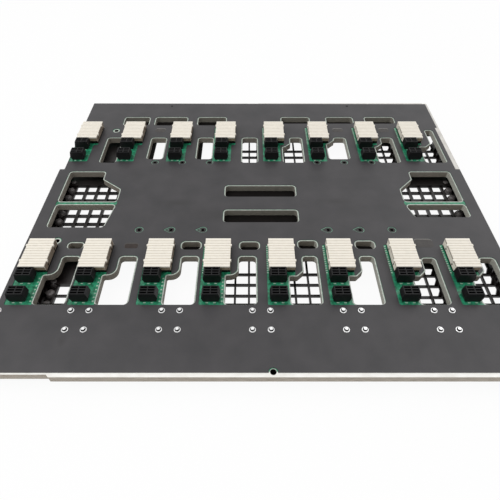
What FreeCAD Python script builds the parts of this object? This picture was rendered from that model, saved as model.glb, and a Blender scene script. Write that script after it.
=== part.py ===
# Blade chassis midplane, lying on its rear parts with the blade side up.
# Millimetres. Origin at the bottom centre, +X to the right, +Y away from the front edge, +Z up.
# Distances called "from the front" are measured from the board's front edge.
import FreeCAD, Part
import os
from math import cos, pi, sin, sqrt

Vector = FreeCAD.Vector

# Board
BOARD_WIDTH = 432.5
BOARD_DEPTH = 383.0
BOARD_THICKNESS = 6.5
REAR_HEIGHT = 12.5
FRONT_STEP = 2.1
FRONT_STEP_WIDTH = 60.5
STEP_CUT = 0.7
LEFT_INSET = 5.0
OUTLINE_CUT = 1.5

# Signal connectors
SIGNAL_FRONT = 97.3
SIGNAL_WIDTH = 22.5
SIGNAL_DEPTH = 33.4
SIGNAL_HEIGHT = 9.0
SIGNAL_RIDGES = 11
GROOVE_DEPTH = 0.6
SIGNAL_FOOT_RECESS = 1.6
SIGNAL_FOOT_HEIGHT = 2.4

# Power connectors, two in front of each signal connector
POWER_PITCH = 20.0
POWER_WIDTH = 15.0
POWER_DEPTH = 8.5
POWER_HEIGHT = 10.0
POWER_TAPER = 2.2
POWER_MOUTHS = 2
POWER_WALL = 1.0
POWER_MOUTH_DEPTH = 5.0
POWER_GAP = 1.3
POWER_FRONT = SIGNAL_FRONT - POWER_GAP - POWER_DEPTH - POWER_PITCH

# Blade bays, eight across in four pairs, in a front and a rear row
PAIRS = 4
BAYS = 2 * PAIRS
BAY_MARGIN = 8.05
PAIRS_MARGIN = 4.5
PAIR_GAP = 2.5
ROW_GAP = 2.7
PAIR_PITCH = (BOARD_WIDTH - PAIRS_MARGIN) / PAIRS
BAY_PITCH = PAIR_PITCH / 2 - PAIR_GAP
ROW_PITCH = BOARD_DEPTH / 2 + ROW_GAP

# Front film
FILM_THICKNESS = 0.5
FILM_SETBACK = 1.6
FILM_FRONT_MARGIN = 3.5
FILM_BACK_MARGIN = 1.0
FILM_SIDE_MARGIN = 0.4
FILM_NOTCH = 5.0
FILM_NOTCH_LENGTH = 82.0
FILM_REAR_MARGIN = 1.6
RING_SIDES = 6
WINDOW_CLEARANCE = 2.5
WINDOW_NARROW_CLEARANCE = 1.2
WINDOW_FRONT_CLEARANCE = 4.0
WINDOW_STRIP = 5.5
SIGNAL_CLEARANCE = 1.2

# Air openings beside the connectors
BAY_GAP = 4.8
OPENING_REACH = BAY_PITCH - BAY_GAP
OPENING_PITCH_LOSS = 1.4
OPENING_LEAD = 3.5
OPENING_FRONT = POWER_FRONT - OPENING_LEAD
OPENING_LENGTH = 52.5
POWER_TO_OPENING = 5.2
OPENING_WIDTH = OPENING_REACH - POWER_WIDTH - POWER_TO_OPENING
NECK_STEP = 11.0
NECK_WIDTH = OPENING_WIDTH - NECK_STEP
NECK_START = 31.0
OPENING_CUT = 2.2
NECK_RADIUS = 8.0
REAR_NECK_CUT = 7.0
GUARDED = (True, False, False, True, True, False, True, True)
REAR_OPENING_FRONT = OPENING_FRONT + ROW_PITCH - ROW_GAP
REAR_OPENING_LENGTH = 48.0
REAR_NARROWING = 3.5
REAR_OPENING_WIDTH = OPENING_WIDTH - REAR_NARROWING
REAR_OPENING_SHIFT = 6.5
REAR_PLAIN_WIDENING = 2.0
REAR_PLAIN_WIDTH = NECK_WIDTH + REAR_PLAIN_WIDENING
REAR_PLAIN_SHIFT = 3.0
LAST_NECK_LENGTH = 16.0

# Oblong slots behind the front openings, the first smaller and two of them under the film
OBLONGS = ("small", "covered", "open", "open", "open", "open", "covered", "none")
OBLONG_GAP = 8.5
OBLONG_FRONT = OPENING_FRONT + OPENING_LENGTH + OBLONG_GAP
OBLONG_WIDENING = 3.5
OBLONG_WIDTH = NECK_WIDTH + OBLONG_WIDENING
OBLONG_LENGTH = 11.0
OBLONG_REACH = 2.7
OBLONG_CUT = 3.2
SMALL_OBLONG_INSET = 1.5
SMALL_OBLONG_TRIM = 3.5
SMALL_OBLONG_LENGTH = 7.0
SMALL_OBLONG_CUT = 2.1

# Slots along the back edge, each as its left end and width, the left ones longer
LEFT_BACK_SLOTS = ((-163.8, 30.0), (-126.0, 38.5), (-74.0, 34.0))
RIGHT_BACK_SLOTS = ((27.8, 34.0), (83.0, 32.0), (130.5, 35.0))
BACK_SLOT_GAP = 23.6
BACK_SLOT_END = SIGNAL_FRONT + ROW_PITCH + SIGNAL_DEPTH + BACK_SLOT_GAP
LEFT_BACK_SLOT_LENGTH = 18.0
RIGHT_BACK_SLOT_LENGTH = 14.0

# Pair of long slots in the middle
MIDDLE_SLOT_WIDTH = 71.5
MIDDLE_SLOT_LENGTH = 17.0
MIDDLE_SLOT_PITCH = 37.5
MIDDLE_SLOT_GAP = 25.0
MIDDLE_SLOT_FRONT = OBLONG_FRONT + OBLONG_LENGTH + MIDDLE_SLOT_GAP

# Side openings, each split by a narrow bar
SIDE_RAIL = 13.25
SIDE_OUTER = BOARD_WIDTH / 2 - SIDE_RAIL
SIDE_WIDTH = 58.5
SIDE_FRONT_WIDTH = 53.0
SIDE_BACK_WIDTH = 43.0
SIDE_INNER = SIDE_OUTER - SIDE_WIDTH
SIDE_FRONT_INNER = SIDE_OUTER - SIDE_FRONT_WIDTH
SIDE_SHOULDER = SIDE_OUTER - SIDE_BACK_WIDTH
SIDE_GAP = 16.5
SIDE_BACK = REAR_OPENING_FRONT - SIDE_GAP
SIDE_BACK_LENGTH = 48.0
SIDE_BAR_WIDTH = 5.0
SIDE_BAR_FRONT = SIDE_BACK - SIDE_BACK_LENGTH - SIDE_BAR_WIDTH
SIDE_SHOULDER_DROP = 13.0
SIDE_SLOPE = 16.0
SIDE_LENGTH_LEFT = 32.0
SIDE_LENGTH_RIGHT = 18.0
LEFT_INSET_GAP = 4.5
LEFT_INSET_START = SIDE_BACK + LEFT_INSET_GAP

# Guide-pin holes of the interconnect modules, mirrored about a line right of the middle
GUIDE_LINE_X = 4.0
GUIDE_PITCH = 30.0
GUIDES_PER_SIDE = 3
GUIDE_SIDE_GAP = 25.5
GUIDE_OBLONG_GAP = 14.5
GUIDE_OVERLAP = 0.5
GUIDE_LAST = SIDE_INNER - GUIDE_SIDE_GAP
GUIDE_FRONT = OBLONG_FRONT + OBLONG_LENGTH + GUIDE_OBLONG_GAP
GUIDE_SPAN = REAR_OPENING_FRONT + GUIDE_OVERLAP - GUIDE_FRONT
GUIDE_HOLE_RADIUS = 1.7
GUIDE_RING = 2.6

# Holes near the board's edges
LOCATING_HOLE_X = 6.3
LOCATING_HOLE_FRONT = 4.6
LOCATING_HOLE_RADIUS = 2.4
LOCATING_RING = 1.0
SIDE_HOLE_RADIUS = 2.4
SIDE_HOLE_RING = 1.9
FRONT_SIDE_HOLE_INSET = 14.8
FRONT_SIDE_HOLE_GAP = 18.0
FRONT_SIDE_HOLE = SIDE_BAR_FRONT - SIDE_LENGTH_LEFT - FRONT_SIDE_HOLE_GAP
REAR_SIDE_HOLE_INSET = 33.2
REAR_SIDE_HOLE_DROP = 5.9
REAR_SIDE_HOLE = SIGNAL_FRONT + ROW_PITCH + SIGNAL_DEPTH - REAR_SIDE_HOLE_DROP

# Air guards, dished grids against the board's back, some closed for a length at the back
BAR_WIDTH = 2.2
GRID_PITCH = 12.1
GUARD_BEND = 6.0
BAY_GUARD_COLUMNS = 3
BAY_GUARD_ROWS = 5
BAY_GUARD_REACH = 6.0
BAY_GUARD_CENTRE = 28.2
SIDE_GUARD_COLUMNS = 6
SIDE_GUARD_ROWS = 9
SIDE_GUARD_REACH = 8.0
SIDE_GUARD_SHIFT = 6.1
TIE_FRONT = 3.0
TIE_BACK = 15.0
FRONT_CLOSED = (30.0, 0.0, 0.0, 0.0, 0.0, 0.0, 9.0, 0.0)
REAR_CLOSED = (43.0, 0.0, 0.0, 0.0, 0.0, 0.0, 9.0, 0.0)
SIDE_CLOSED = 20.5

# Power supply connectors on the back
SUPPLIES = 6
SUPPLY_SPREAD = 4.9
SUPPLY_PITCH = (BOARD_WIDTH + SUPPLY_SPREAD) / SUPPLIES
SUPPLY_LINE_X = -1.4
SUPPLY_DEPTH = 24.0
SUPPLY_OPENING_GAP = 2.5
SUPPLY_FRONT = OPENING_FRONT - SUPPLY_OPENING_GAP - SUPPLY_DEPTH
SUPPLY_GAP = 7.9
SUPPLY_WIDTH = SUPPLY_PITCH - SUPPLY_GAP
SUPPLY_FLANGE = 4.0
SUPPLY_FLANGE_RIM = 6.5
SUPPLY_WALL = 3.0
SUPPLY_BODY_DEPTH = 16.0
SUPPLY_MOUTH_DEPTH = 8.0
MOUTH_HEIGHT = 7.0

# Interconnect module and fan connectors on the back
MODULE_WIDTH = 14.0
MODULE_GUIDE_GAP = 15.75
MODULE_MOUTH_WIDTH = 3.6
MODULE_MOUTH_MARGIN = 5.0
FAN_CONNECTOR_WIDTH = 11.0
FAN_CONNECTOR_DEPTH = 16.0
FAN_REACH = 13.0
FAN_BESIDE_BAY = (True, False, False, True, False, True, False, False)

# Rear film
REAR_FILM_THICKNESS = 0.5
REAR_FILM_MARGIN = 11.0
REAR_FILM_CLEARANCE = 1.0

BOARD_BOTTOM = REAR_HEIGHT
BOARD_TOP = BOARD_BOTTOM + BOARD_THICKNESS
SIDES = (-1, 1)
ROWS = (0, 1)
ROW_NAMES = ("front", "rear")
SHARP_JOINTS = 2


def from_front(distance):
    """Y of a point at this distance from the board's front edge."""
    return distance - BOARD_DEPTH / 2


def outline(corners):
    """Face through corners (x, y, cut), each cut off; a right-angled one (x, y, radius, True) is rounded."""
    joints = []
    edges = []
    count = len(corners)
    for index, (x, y, reach, *rounded) in enumerate(corners):
        corner = Vector(x, y, 0)
        before = Vector(*corners[index - 1][:2], 0) - corner
        after = Vector(*corners[(index + 1) % count][:2], 0) - corner
        before.normalize()
        after.normalize()
        middle = corner + (before + after) * (reach * (1 - sqrt(0.5)))
        joints.append((corner + before * reach, middle, corner + after * reach, bool(rounded)))
    for index, (start, middle, end, rounded) in enumerate(joints):
        bend = Part.Arc(start, middle, end) if rounded else Part.LineSegment(start, end)
        edges.append(bend.toShape())
        edges.append(Part.LineSegment(end, joints[(index + 1) % count][0]).toShape())
    return Part.Face(Part.Wire(edges))


def polygon(points):
    """Flat face through points (x, y)."""
    return Part.Face(Part.makePolygon([Vector(x, y, 0) for x, y in points + points[:1]]))


def rectangle(left, right, front, back, cut):
    """Corners of a rectangle between two X and two Y values."""
    return [(left, front, cut), (right, front, cut), (right, back, cut), (left, back, cut)]


def plate(face, bottom, thickness):
    """Prism of this thickness that stands on a face moved up to a height."""
    raised = face.copy()
    raised.translate(Vector(0, 0, bottom))
    return raised.extrude(Vector(0, 0, thickness))


def block(left, right, front, back, bottom, top):
    """Plain box between two corners."""
    return Part.makeBox(right - left, back - front, top - bottom, Vector(left, front, bottom))


def film_cut(corners):
    """Film cut-out with sharp corners, set back from the edge of an opening."""
    sharp = polygon([corner[:2] for corner in corners])
    return Part.Face(sharp.OuterWire.makeOffset2D(FILM_SETBACK, SHARP_JOINTS))


def disc(x, y, radius):
    """Round face."""
    return Part.Face(Part.Wire(Part.makeCircle(radius, Vector(x, y, 0))))


def ring_cut(x, y, radius):
    """Film cut-out with flat sides round a hole."""
    turns = [2 * pi * (number + 0.5) / RING_SIDES for number in range(RING_SIDES)]
    return polygon([(x + radius * cos(turn), y + radius * sin(turn)) for turn in turns])


def bay_left(bay):
    """X of the left side of a bay's connectors."""
    return BAY_MARGIN - BOARD_WIDTH / 2 + PAIR_PITCH * (bay // 2) + BAY_PITCH * (bay % 2)


def opening_right(bay):
    """X of the right edge of a bay's air opening."""
    return bay_left(bay) + OPENING_REACH - OPENING_PITCH_LOSS * (bay // 2)


def necked_opening(right, front, width, length, *bend):
    """Corners of an air opening that narrows, with a bend or cut, round the signal connector's corner."""
    neck = right - NECK_WIDTH
    step = front + NECK_START
    return [
        (right - width, front, OPENING_CUT),
        (right, front, OPENING_CUT),
        (right, front + length, OPENING_CUT),
        (neck, front + length, OPENING_CUT),
        (neck, step, *bend),
        (right - width, step, OPENING_CUT),
    ]


def front_opening(bay):
    """Air opening in the front row."""
    right = opening_right(bay)
    return necked_opening(right, from_front(OPENING_FRONT), OPENING_WIDTH, OPENING_LENGTH, NECK_RADIUS, True)


def rear_opening(bay):
    """Air opening in the rear row: plain in the left half, necked in the right half."""
    front = from_front(REAR_OPENING_FRONT)
    back = front + REAR_OPENING_LENGTH
    right = opening_right(bay)
    if not GUARDED[bay]:
        front += REAR_OPENING_SHIFT
    if bay < BAYS // 2:
        right += REAR_PLAIN_SHIFT
        return rectangle(right - REAR_PLAIN_WIDTH, right, front, back, OPENING_CUT)
    if bay == BAYS - 1:
        back += LAST_NECK_LENGTH
    return necked_opening(right, front, REAR_OPENING_WIDTH, back - front, REAR_NECK_CUT)


def oblong_slot(bay):
    """Oblong slot behind a front opening."""
    right = opening_right(bay) + OBLONG_REACH
    left = right - OBLONG_WIDTH
    front = from_front(OBLONG_FRONT)
    if OBLONGS[bay] == "small":
        front += SMALL_OBLONG_INSET
        return rectangle(left + SMALL_OBLONG_INSET, right - SMALL_OBLONG_TRIM,
                         front, front + SMALL_OBLONG_LENGTH, SMALL_OBLONG_CUT)
    return rectangle(left, right, front, front + OBLONG_LENGTH, OBLONG_CUT)


def oblong_slots(*kinds):
    """Every oblong slot of the given kinds."""
    return [oblong_slot(bay) for bay in range(BAYS) if OBLONGS[bay] in kinds]


def back_slots():
    """Slots along the back edge."""
    back = from_front(BACK_SLOT_END)
    slots = [(*slot, LEFT_BACK_SLOT_LENGTH) for slot in LEFT_BACK_SLOTS]
    slots += [(*slot, RIGHT_BACK_SLOT_LENGTH) for slot in RIGHT_BACK_SLOTS]
    return [rectangle(left, left + width, back - length, back, OPENING_CUT) for left, width, length in slots]


def middle_slots():
    """Pair of long slots in the middle of the board."""
    half = MIDDLE_SLOT_WIDTH / 2
    fronts = [from_front(MIDDLE_SLOT_FRONT) + number * MIDDLE_SLOT_PITCH for number in ROWS]
    return [rectangle(-half, half, front, front + MIDDLE_SLOT_LENGTH, OPENING_CUT) for front in fronts]


def side_openings(side):
    """Back and front halves of a side opening, on the left (-1) or right (1)."""
    bar_front = from_front(SIDE_BAR_FRONT)
    bar_back = bar_front + SIDE_BAR_WIDTH
    back = from_front(SIDE_BACK)
    front = bar_front - (SIDE_LENGTH_LEFT if side < 0 else SIDE_LENGTH_RIGHT)
    shoulder = back - SIDE_SHOULDER_DROP
    back_half = [
        (SIDE_OUTER, bar_back),
        (SIDE_OUTER, back),
        (SIDE_SHOULDER, back),
        (SIDE_SHOULDER, shoulder),
        (SIDE_INNER, shoulder - SIDE_SLOPE),
        (SIDE_INNER, bar_back),
    ]
    front_half = [
        (SIDE_OUTER, front),
        (SIDE_OUTER, bar_front),
        (SIDE_INNER, bar_front),
        (SIDE_FRONT_INNER, front),
    ]
    return [[(side * x, y, OPENING_CUT) for x, y in half] for half in (back_half, front_half)]


def guide_lines():
    """X of each column of guide-pin holes."""
    offsets = [GUIDE_LAST - GUIDE_PITCH * number for number in range(GUIDES_PER_SIDE)]
    return [GUIDE_LINE_X + side * offset for side in SIDES for offset in offsets]


def side_holes():
    """Place of each hole near the left side."""
    front_hole = (FRONT_SIDE_HOLE_INSET - SIDE_OUTER, from_front(FRONT_SIDE_HOLE))
    rear_hole = (REAR_SIDE_HOLE_INSET - SIDE_OUTER, from_front(REAR_SIDE_HOLE))
    return [front_hole, rear_hole]


def round_holes():
    """Each round hole in the board as its X, Y, radius and the bare ring round it."""
    rows = (from_front(GUIDE_FRONT), from_front(GUIDE_FRONT + GUIDE_SPAN))
    holes = [(x, y, GUIDE_HOLE_RADIUS, GUIDE_RING) for y in rows for x in guide_lines()]
    holes.append((LOCATING_HOLE_X, from_front(LOCATING_HOLE_FRONT), LOCATING_HOLE_RADIUS, LOCATING_RING))
    return holes + [(x, y, SIDE_HOLE_RADIUS, SIDE_HOLE_RING) for x, y in side_holes()]


def shown_openings():
    """Openings that both the board and the front film leave free."""
    openings = [front_opening(bay) for bay in range(BAYS)]
    openings += [rear_opening(bay) for bay in range(BAYS)]
    openings += oblong_slots("open", "small")
    openings += back_slots() + middle_slots()
    for side in SIDES:
        openings += side_openings(side)
    return openings


def board_outline():
    """Edge of the board, stepped at its front left corner and set in at its left rear."""
    half = BOARD_WIDTH / 2
    front = -BOARD_DEPTH / 2
    back = BOARD_DEPTH / 2
    step = -half + FRONT_STEP_WIDTH
    inset = from_front(LEFT_INSET_START)
    return outline([
        (-half, front + FRONT_STEP, OUTLINE_CUT),
        (step - FRONT_STEP, front + FRONT_STEP, STEP_CUT),
        (step, front, STEP_CUT),
        (half, front, OUTLINE_CUT),
        (half, back, OUTLINE_CUT),
        (-half + LEFT_INSET, back, OUTLINE_CUT),
        (-half + LEFT_INSET, inset, OUTLINE_CUT),
        (-half, inset, OUTLINE_CUT),
    ])


def midplane_board():
    """Thick circuit board with all its openings and holes."""
    openings = shown_openings() + oblong_slots("covered")
    faces = [outline(opening) for opening in openings]
    faces += [disc(x, y, radius) for x, y, radius, ring in round_holes()]
    cuts = [plate(face, BOARD_BOTTOM, BOARD_THICKNESS) for face in faces]
    return plate(board_outline(), BOARD_BOTTOM, BOARD_THICKNESS).cut(cuts)


def film_outline():
    """Edge of the front film, notched on the right where the board's margin is bare."""
    half = BOARD_WIDTH / 2
    left = -half + FILM_SIDE_MARGIN
    right = half - FILM_SIDE_MARGIN
    front = -BOARD_DEPTH / 2 + FILM_FRONT_MARGIN
    back = BOARD_DEPTH / 2 - FILM_BACK_MARGIN
    inset = from_front(LEFT_INSET_START)
    notch_end = inset + FILM_NOTCH_LENGTH
    return polygon([
        (left, front),
        (right, front),
        (right, inset),
        (half - FILM_NOTCH, inset),
        (half - FILM_NOTCH, notch_end),
        (half - FILM_REAR_MARGIN, notch_end),
        (half - FILM_REAR_MARGIN, back),
        (left + LEFT_INSET, back),
        (left + LEFT_INSET, inset),
        (left, inset),
    ])


def connector_window(bay, row):
    """Part of the film that is cut away round a bay's connectors, closer to those of the right half."""
    left = bay_left(bay)
    window_left = left - (WINDOW_CLEARANCE if bay < BAYS // 2 else WINDOW_NARROW_CLEARANCE)
    shift = row * ROW_PITCH
    signal_front = from_front(SIGNAL_FRONT) + shift
    power_front = from_front(POWER_FRONT) + shift - WINDOW_FRONT_CLEARANCE
    power_right = left + POWER_WIDTH + WINDOW_STRIP
    signal_right = left + SIGNAL_WIDTH + SIGNAL_CLEARANCE
    signal_back = signal_front + SIGNAL_DEPTH + SIGNAL_CLEARANCE
    return polygon([
        (window_left, power_front),
        (power_right, power_front),
        (power_right, signal_front - WINDOW_CLEARANCE),
        (signal_right, signal_front - WINDOW_CLEARANCE),
        (signal_right, signal_back),
        (window_left, signal_back),
    ])


def bare_bar(side):
    """Part of the film that is cut away over the bar across a side opening."""
    left, right = sorted((side * SIDE_INNER, side * SIDE_OUTER))
    front = from_front(SIDE_BAR_FRONT)
    return film_cut(rectangle(left, right, front, front + SIDE_BAR_WIDTH, OPENING_CUT))


def front_insulator_film():
    """Film on the board's face, cut back from every opening, hole and connector."""
    faces = [film_cut(opening) for opening in shown_openings()]
    faces += [bare_bar(side) for side in SIDES]
    faces += [ring_cut(x, y, radius + ring) for x, y, radius, ring in round_holes()]
    faces += [connector_window(bay, row) for bay in range(BAYS) for row in ROWS]
    cuts = [plate(face, BOARD_TOP, FILM_THICKNESS) for face in faces]
    return plate(film_outline(), BOARD_TOP, FILM_THICKNESS).cut(cuts).removeSplitter()


def signal_connector(bay, row):
    """Cream header: a ridged profile run along X, undercut at the foot of its front."""
    front = from_front(SIGNAL_FRONT) + row * ROW_PITCH
    back = front + SIGNAL_DEPTH
    top = BOARD_TOP + SIGNAL_HEIGHT
    foot = BOARD_TOP + SIGNAL_FOOT_HEIGHT
    ridge = SIGNAL_DEPTH / SIGNAL_RIDGES
    profile = [
        (back, BOARD_TOP),
        (front + SIGNAL_FOOT_RECESS, BOARD_TOP),
        (front + SIGNAL_FOOT_RECESS, foot),
        (front, foot),
    ]
    for number in range(SIGNAL_RIDGES):
        profile.append((front + number * ridge, top - GROOVE_DEPTH))
        profile.append((front + (number + 0.5) * ridge, top))
    profile.append((back, top - GROOVE_DEPTH))
    points = [Vector(bay_left(bay), y, z) for y, z in profile + profile[:1]]
    return Part.Face(Part.makePolygon(points)).extrude(Vector(SIGNAL_WIDTH, 0, 0))


def power_connector(left, front):
    """Black block with tapered sides and mouths for the blade's contacts side by side in its top."""
    right = left + POWER_WIDTH
    back = front + POWER_DEPTH
    top = BOARD_TOP + POWER_HEIGHT
    top_left = left + POWER_TAPER
    top_right = right - POWER_TAPER
    sides = [(left, BOARD_TOP), (right, BOARD_TOP), (top_right, top), (top_left, top)]
    points = [Vector(x, front, z) for x, z in sides + sides[:1]]
    body = Part.Face(Part.makePolygon(points)).extrude(Vector(0, POWER_DEPTH, 0))
    pitch = (top_right - top_left - POWER_WALL) / POWER_MOUTHS
    mouth_lefts = [top_left + POWER_WALL + number * pitch for number in range(POWER_MOUTHS)]
    mouths = [block(mouth_left, mouth_left + pitch - POWER_WALL, front + POWER_WALL, back - POWER_WALL,
                    top - POWER_MOUTH_DEPTH, top) for mouth_left in mouth_lefts]
    return body.cut(mouths)


def power_connectors(bay, row):
    """The two power connectors of a bay."""
    front = from_front(POWER_FRONT) + row * ROW_PITCH
    left = bay_left(bay)
    return Part.makeCompound([power_connector(left, front), power_connector(left, front + POWER_PITCH)])


def guard_wall(edge, inward, front, back):
    """Closed wall at a side of a guard that bends inward below, along Y between two ends."""
    profile = [
        (0, BOARD_BOTTOM),
        (0, GUARD_BEND),
        (GUARD_BEND, 0),
        (GUARD_BEND, BAR_WIDTH),
        (BAR_WIDTH, GUARD_BEND),
        (BAR_WIDTH, BOARD_BOTTOM),
    ]
    points = [Vector(edge + inward * x, front, z) for x, z in profile + profile[:1]]
    return Part.Face(Part.makePolygon(points)).extrude(Vector(0, back - front, 0))


def air_guard(left, middle, columns, rows, closed):
    """Dished grid between two walls: bars along X, tied by bars on top of them, partly closed at the back."""
    right = left + columns * GRID_PITCH
    lines = [middle + (number - rows / 2) * GRID_PITCH for number in range(1, rows)]
    front = lines[0] - TIE_FRONT
    back = lines[-1] + TIE_BACK
    inner_left = left + GUARD_BEND
    inner_right = right - GUARD_BEND
    pieces = [guard_wall(left, 1, front, back), guard_wall(right, -1, front, back)]
    for y in lines:
        pieces.append(block(inner_left, inner_right, y - BAR_WIDTH / 2, y + BAR_WIDTH / 2, 0, BAR_WIDTH))
    for number in range(1, columns):
        x = left + number * GRID_PITCH
        pieces.append(block(x - BAR_WIDTH / 2, x + BAR_WIDTH / 2, front, back, BAR_WIDTH, 2 * BAR_WIDTH))
    if closed:
        pieces.append(block(inner_left, inner_right, back - closed, back, 2 * BAR_WIDTH, 3 * BAR_WIDTH))
    return Part.makeCompound(pieces)


def guard_middle(row):
    """Y of the middle of a row of guards."""
    return from_front((OPENING_FRONT, REAR_OPENING_FRONT)[row] + BAY_GUARD_CENTRE)


def bay_guard(bay, row):
    """Guard behind a bay's air opening."""
    left = opening_right(bay) + BAY_GUARD_REACH - BAY_GUARD_COLUMNS * GRID_PITCH
    closed = (FRONT_CLOSED, REAR_CLOSED)[row][bay]
    return air_guard(left, guard_middle(row), BAY_GUARD_COLUMNS, BAY_GUARD_ROWS, closed)


def side_guard(side):
    """Guard behind both halves of a side opening."""
    outer = SIDE_OUTER + SIDE_GUARD_REACH
    left = -outer if side < 0 else outer - SIDE_GUARD_COLUMNS * GRID_PITCH
    middle = from_front(SIDE_BAR_FRONT + SIDE_BAR_WIDTH / 2 + SIDE_GUARD_SHIFT)
    return air_guard(left, middle, SIDE_GUARD_COLUMNS, SIDE_GUARD_ROWS, SIDE_CLOSED)


def supply_x(number):
    """X of the middle of a power supply connector."""
    return SUPPLY_LINE_X + (number - (SUPPLIES - 1) / 2) * SUPPLY_PITCH


def supply_connector(number):
    """Rear power supply connector: a flange on the board and a body with a long mouth."""
    x = supply_x(number)
    front = from_front(SUPPLY_FRONT)
    y = front + SUPPLY_DEPTH / 2
    flange_bottom = BOARD_BOTTOM - SUPPLY_FLANGE
    flange = block(x - SUPPLY_WIDTH / 2, x + SUPPLY_WIDTH / 2, front, front + SUPPLY_DEPTH,
                   flange_bottom, BOARD_BOTTOM)
    half_body = SUPPLY_WIDTH / 2 - SUPPLY_FLANGE_RIM
    half_mouth = half_body - SUPPLY_WALL
    body = block(x - half_body, x + half_body,
                 y - SUPPLY_BODY_DEPTH / 2, y + SUPPLY_BODY_DEPTH / 2, 0, flange_bottom)
    mouth = block(x - half_mouth, x + half_mouth,
                  y - SUPPLY_MOUTH_DEPTH / 2, y + SUPPLY_MOUTH_DEPTH / 2, 0, MOUTH_HEIGHT)
    return flange.fuse(body).cut(mouth).removeSplitter()


def module_connector(x):
    """Rear interconnect module connector: a long block with a narrow mouth."""
    front = from_front(GUIDE_FRONT + MODULE_GUIDE_GAP)
    back = from_front(GUIDE_FRONT + GUIDE_SPAN - MODULE_GUIDE_GAP)
    body = block(x - MODULE_WIDTH / 2, x + MODULE_WIDTH / 2, front, back, 0, BOARD_BOTTOM)
    mouth = block(x - MODULE_MOUTH_WIDTH / 2, x + MODULE_MOUTH_WIDTH / 2,
                  front + MODULE_MOUTH_MARGIN, back - MODULE_MOUTH_MARGIN, 0, MOUTH_HEIGHT)
    return body.cut(mouth)


def fan_places():
    """Place of each fan connector: beside bay guards, between modules and between the middle slots."""
    bays = [bay for bay in range(BAYS) if FAN_BESIDE_BAY[bay]]
    places = [(opening_right(bay) + FAN_REACH, guard_middle(row)) for row in ROWS for bay in bays]
    module_gap = GUIDE_LAST - GUIDE_PITCH * (GUIDES_PER_SIDE - 1) + GUIDE_PITCH / 2
    module_middle = from_front(GUIDE_FRONT + GUIDE_SPAN / 2)
    places += [(GUIDE_LINE_X + side * module_gap, module_middle) for side in SIDES]
    slots_middle = MIDDLE_SLOT_FRONT + (MIDDLE_SLOT_LENGTH + MIDDLE_SLOT_PITCH) / 2
    return places + [(0, from_front(slots_middle))]


def fan_connector(x, y):
    """Rear fan connector block round a place on the board."""
    return block(x - FAN_CONNECTOR_WIDTH / 2, x + FAN_CONNECTOR_WIDTH / 2,
                 y - FAN_CONNECTOR_DEPTH / 2, y + FAN_CONNECTOR_DEPTH / 2, 0, BOARD_BOTTOM)


def footprint(box, clearance):
    """Rectangle round a bounding box, seen from above, with a clearance on every side."""
    return polygon([
        (box.XMin - clearance, box.YMin - clearance),
        (box.XMax + clearance, box.YMin - clearance),
        (box.XMax + clearance, box.YMax + clearance),
        (box.XMin - clearance, box.YMax + clearance),
    ])


def joined_box(shapes):
    """Bounding box round several shapes."""
    return Part.makeCompound(shapes).BoundBox


def rear_insulator_film(rear_parts, fans):
    """Film behind the supply connectors, cut away round the other parts, the holes and the open bays."""
    half = BOARD_WIDTH / 2 - REAR_FILM_MARGIN
    front = from_front(SUPPLY_FRONT + SUPPLY_DEPTH) + REAR_FILM_CLEARANCE
    back = BOARD_DEPTH / 2 - REAR_FILM_MARGIN
    bottom = BOARD_BOTTOM - REAR_FILM_THICKNESS
    boxes = [part.BoundBox for name, part in rear_parts.items() if name.startswith("air_guard")]
    module_parts = [part for name, part in rear_parts.items() if name.startswith("module")]
    module_parts += [disc(*hole[:3]) for hole in round_holes() if hole[2] == GUIDE_HOLE_RADIUS]
    for side in SIDES:
        boxes.append(joined_box([part for part in module_parts if part.BoundBox.Center.x * side > 0]))
    boxes += [fan.BoundBox for fan in fans]
    boxes += [disc(x, y, SIDE_HOLE_RADIUS).BoundBox for x, y in side_holes()]
    for bay in range(BAYS):
        if not GUARDED[bay]:
            boxes.append(outline(front_opening(bay)).BoundBox)
            boxes.append(outline(rear_opening(bay)).BoundBox)
    cuts = [plate(footprint(box, REAR_FILM_CLEARANCE), bottom, REAR_FILM_THICKNESS) for box in boxes]
    return block(-half, half, front, back, bottom, BOARD_BOTTOM).cut(cuts).removeSplitter()


def rear_nodes():
    """Named parts on the board's back."""
    nodes = {}
    for row, row_name in zip(ROWS, ROW_NAMES):
        for bay in range(BAYS):
            if GUARDED[bay]:
                nodes[f"air_guard_{row_name}_{bay + 1}"] = bay_guard(bay, row)
    nodes["air_guard_side_left"] = side_guard(-1)
    nodes["air_guard_side_right"] = side_guard(1)
    for number in range(SUPPLIES):
        nodes[f"supply_connector_{number + 1}"] = supply_connector(number)
    for number, x in enumerate(sorted(guide_lines())):
        nodes[f"module_connector_{number + 1}"] = module_connector(x)
    return nodes


def all_nodes():
    """Every part of the midplane by its name."""
    rear = rear_nodes()
    fans = [fan_connector(x, y) for x, y in fan_places()]
    nodes = {
        "midplane_board": midplane_board(),
        "front_insulator_film": front_insulator_film(),
        "rear_insulator_film": rear_insulator_film(rear, fans),
        "fan_connectors": Part.makeCompound(fans),
    }
    nodes.update(rear)
    for row, row_name in zip(ROWS, ROW_NAMES):
        for bay in range(BAYS):
            nodes[f"signal_connector_{row_name}_{bay + 1}"] = signal_connector(bay, row)
            nodes[f"power_connectors_{row_name}_{bay + 1}"] = power_connectors(bay, row)
    return nodes


os.makedirs("parts", exist_ok=True)
for name, shape in all_nodes().items():
    shape.exportStep(f"parts/{name}.step")
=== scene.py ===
from math import cos, pi, radians, sin, sqrt

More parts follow.
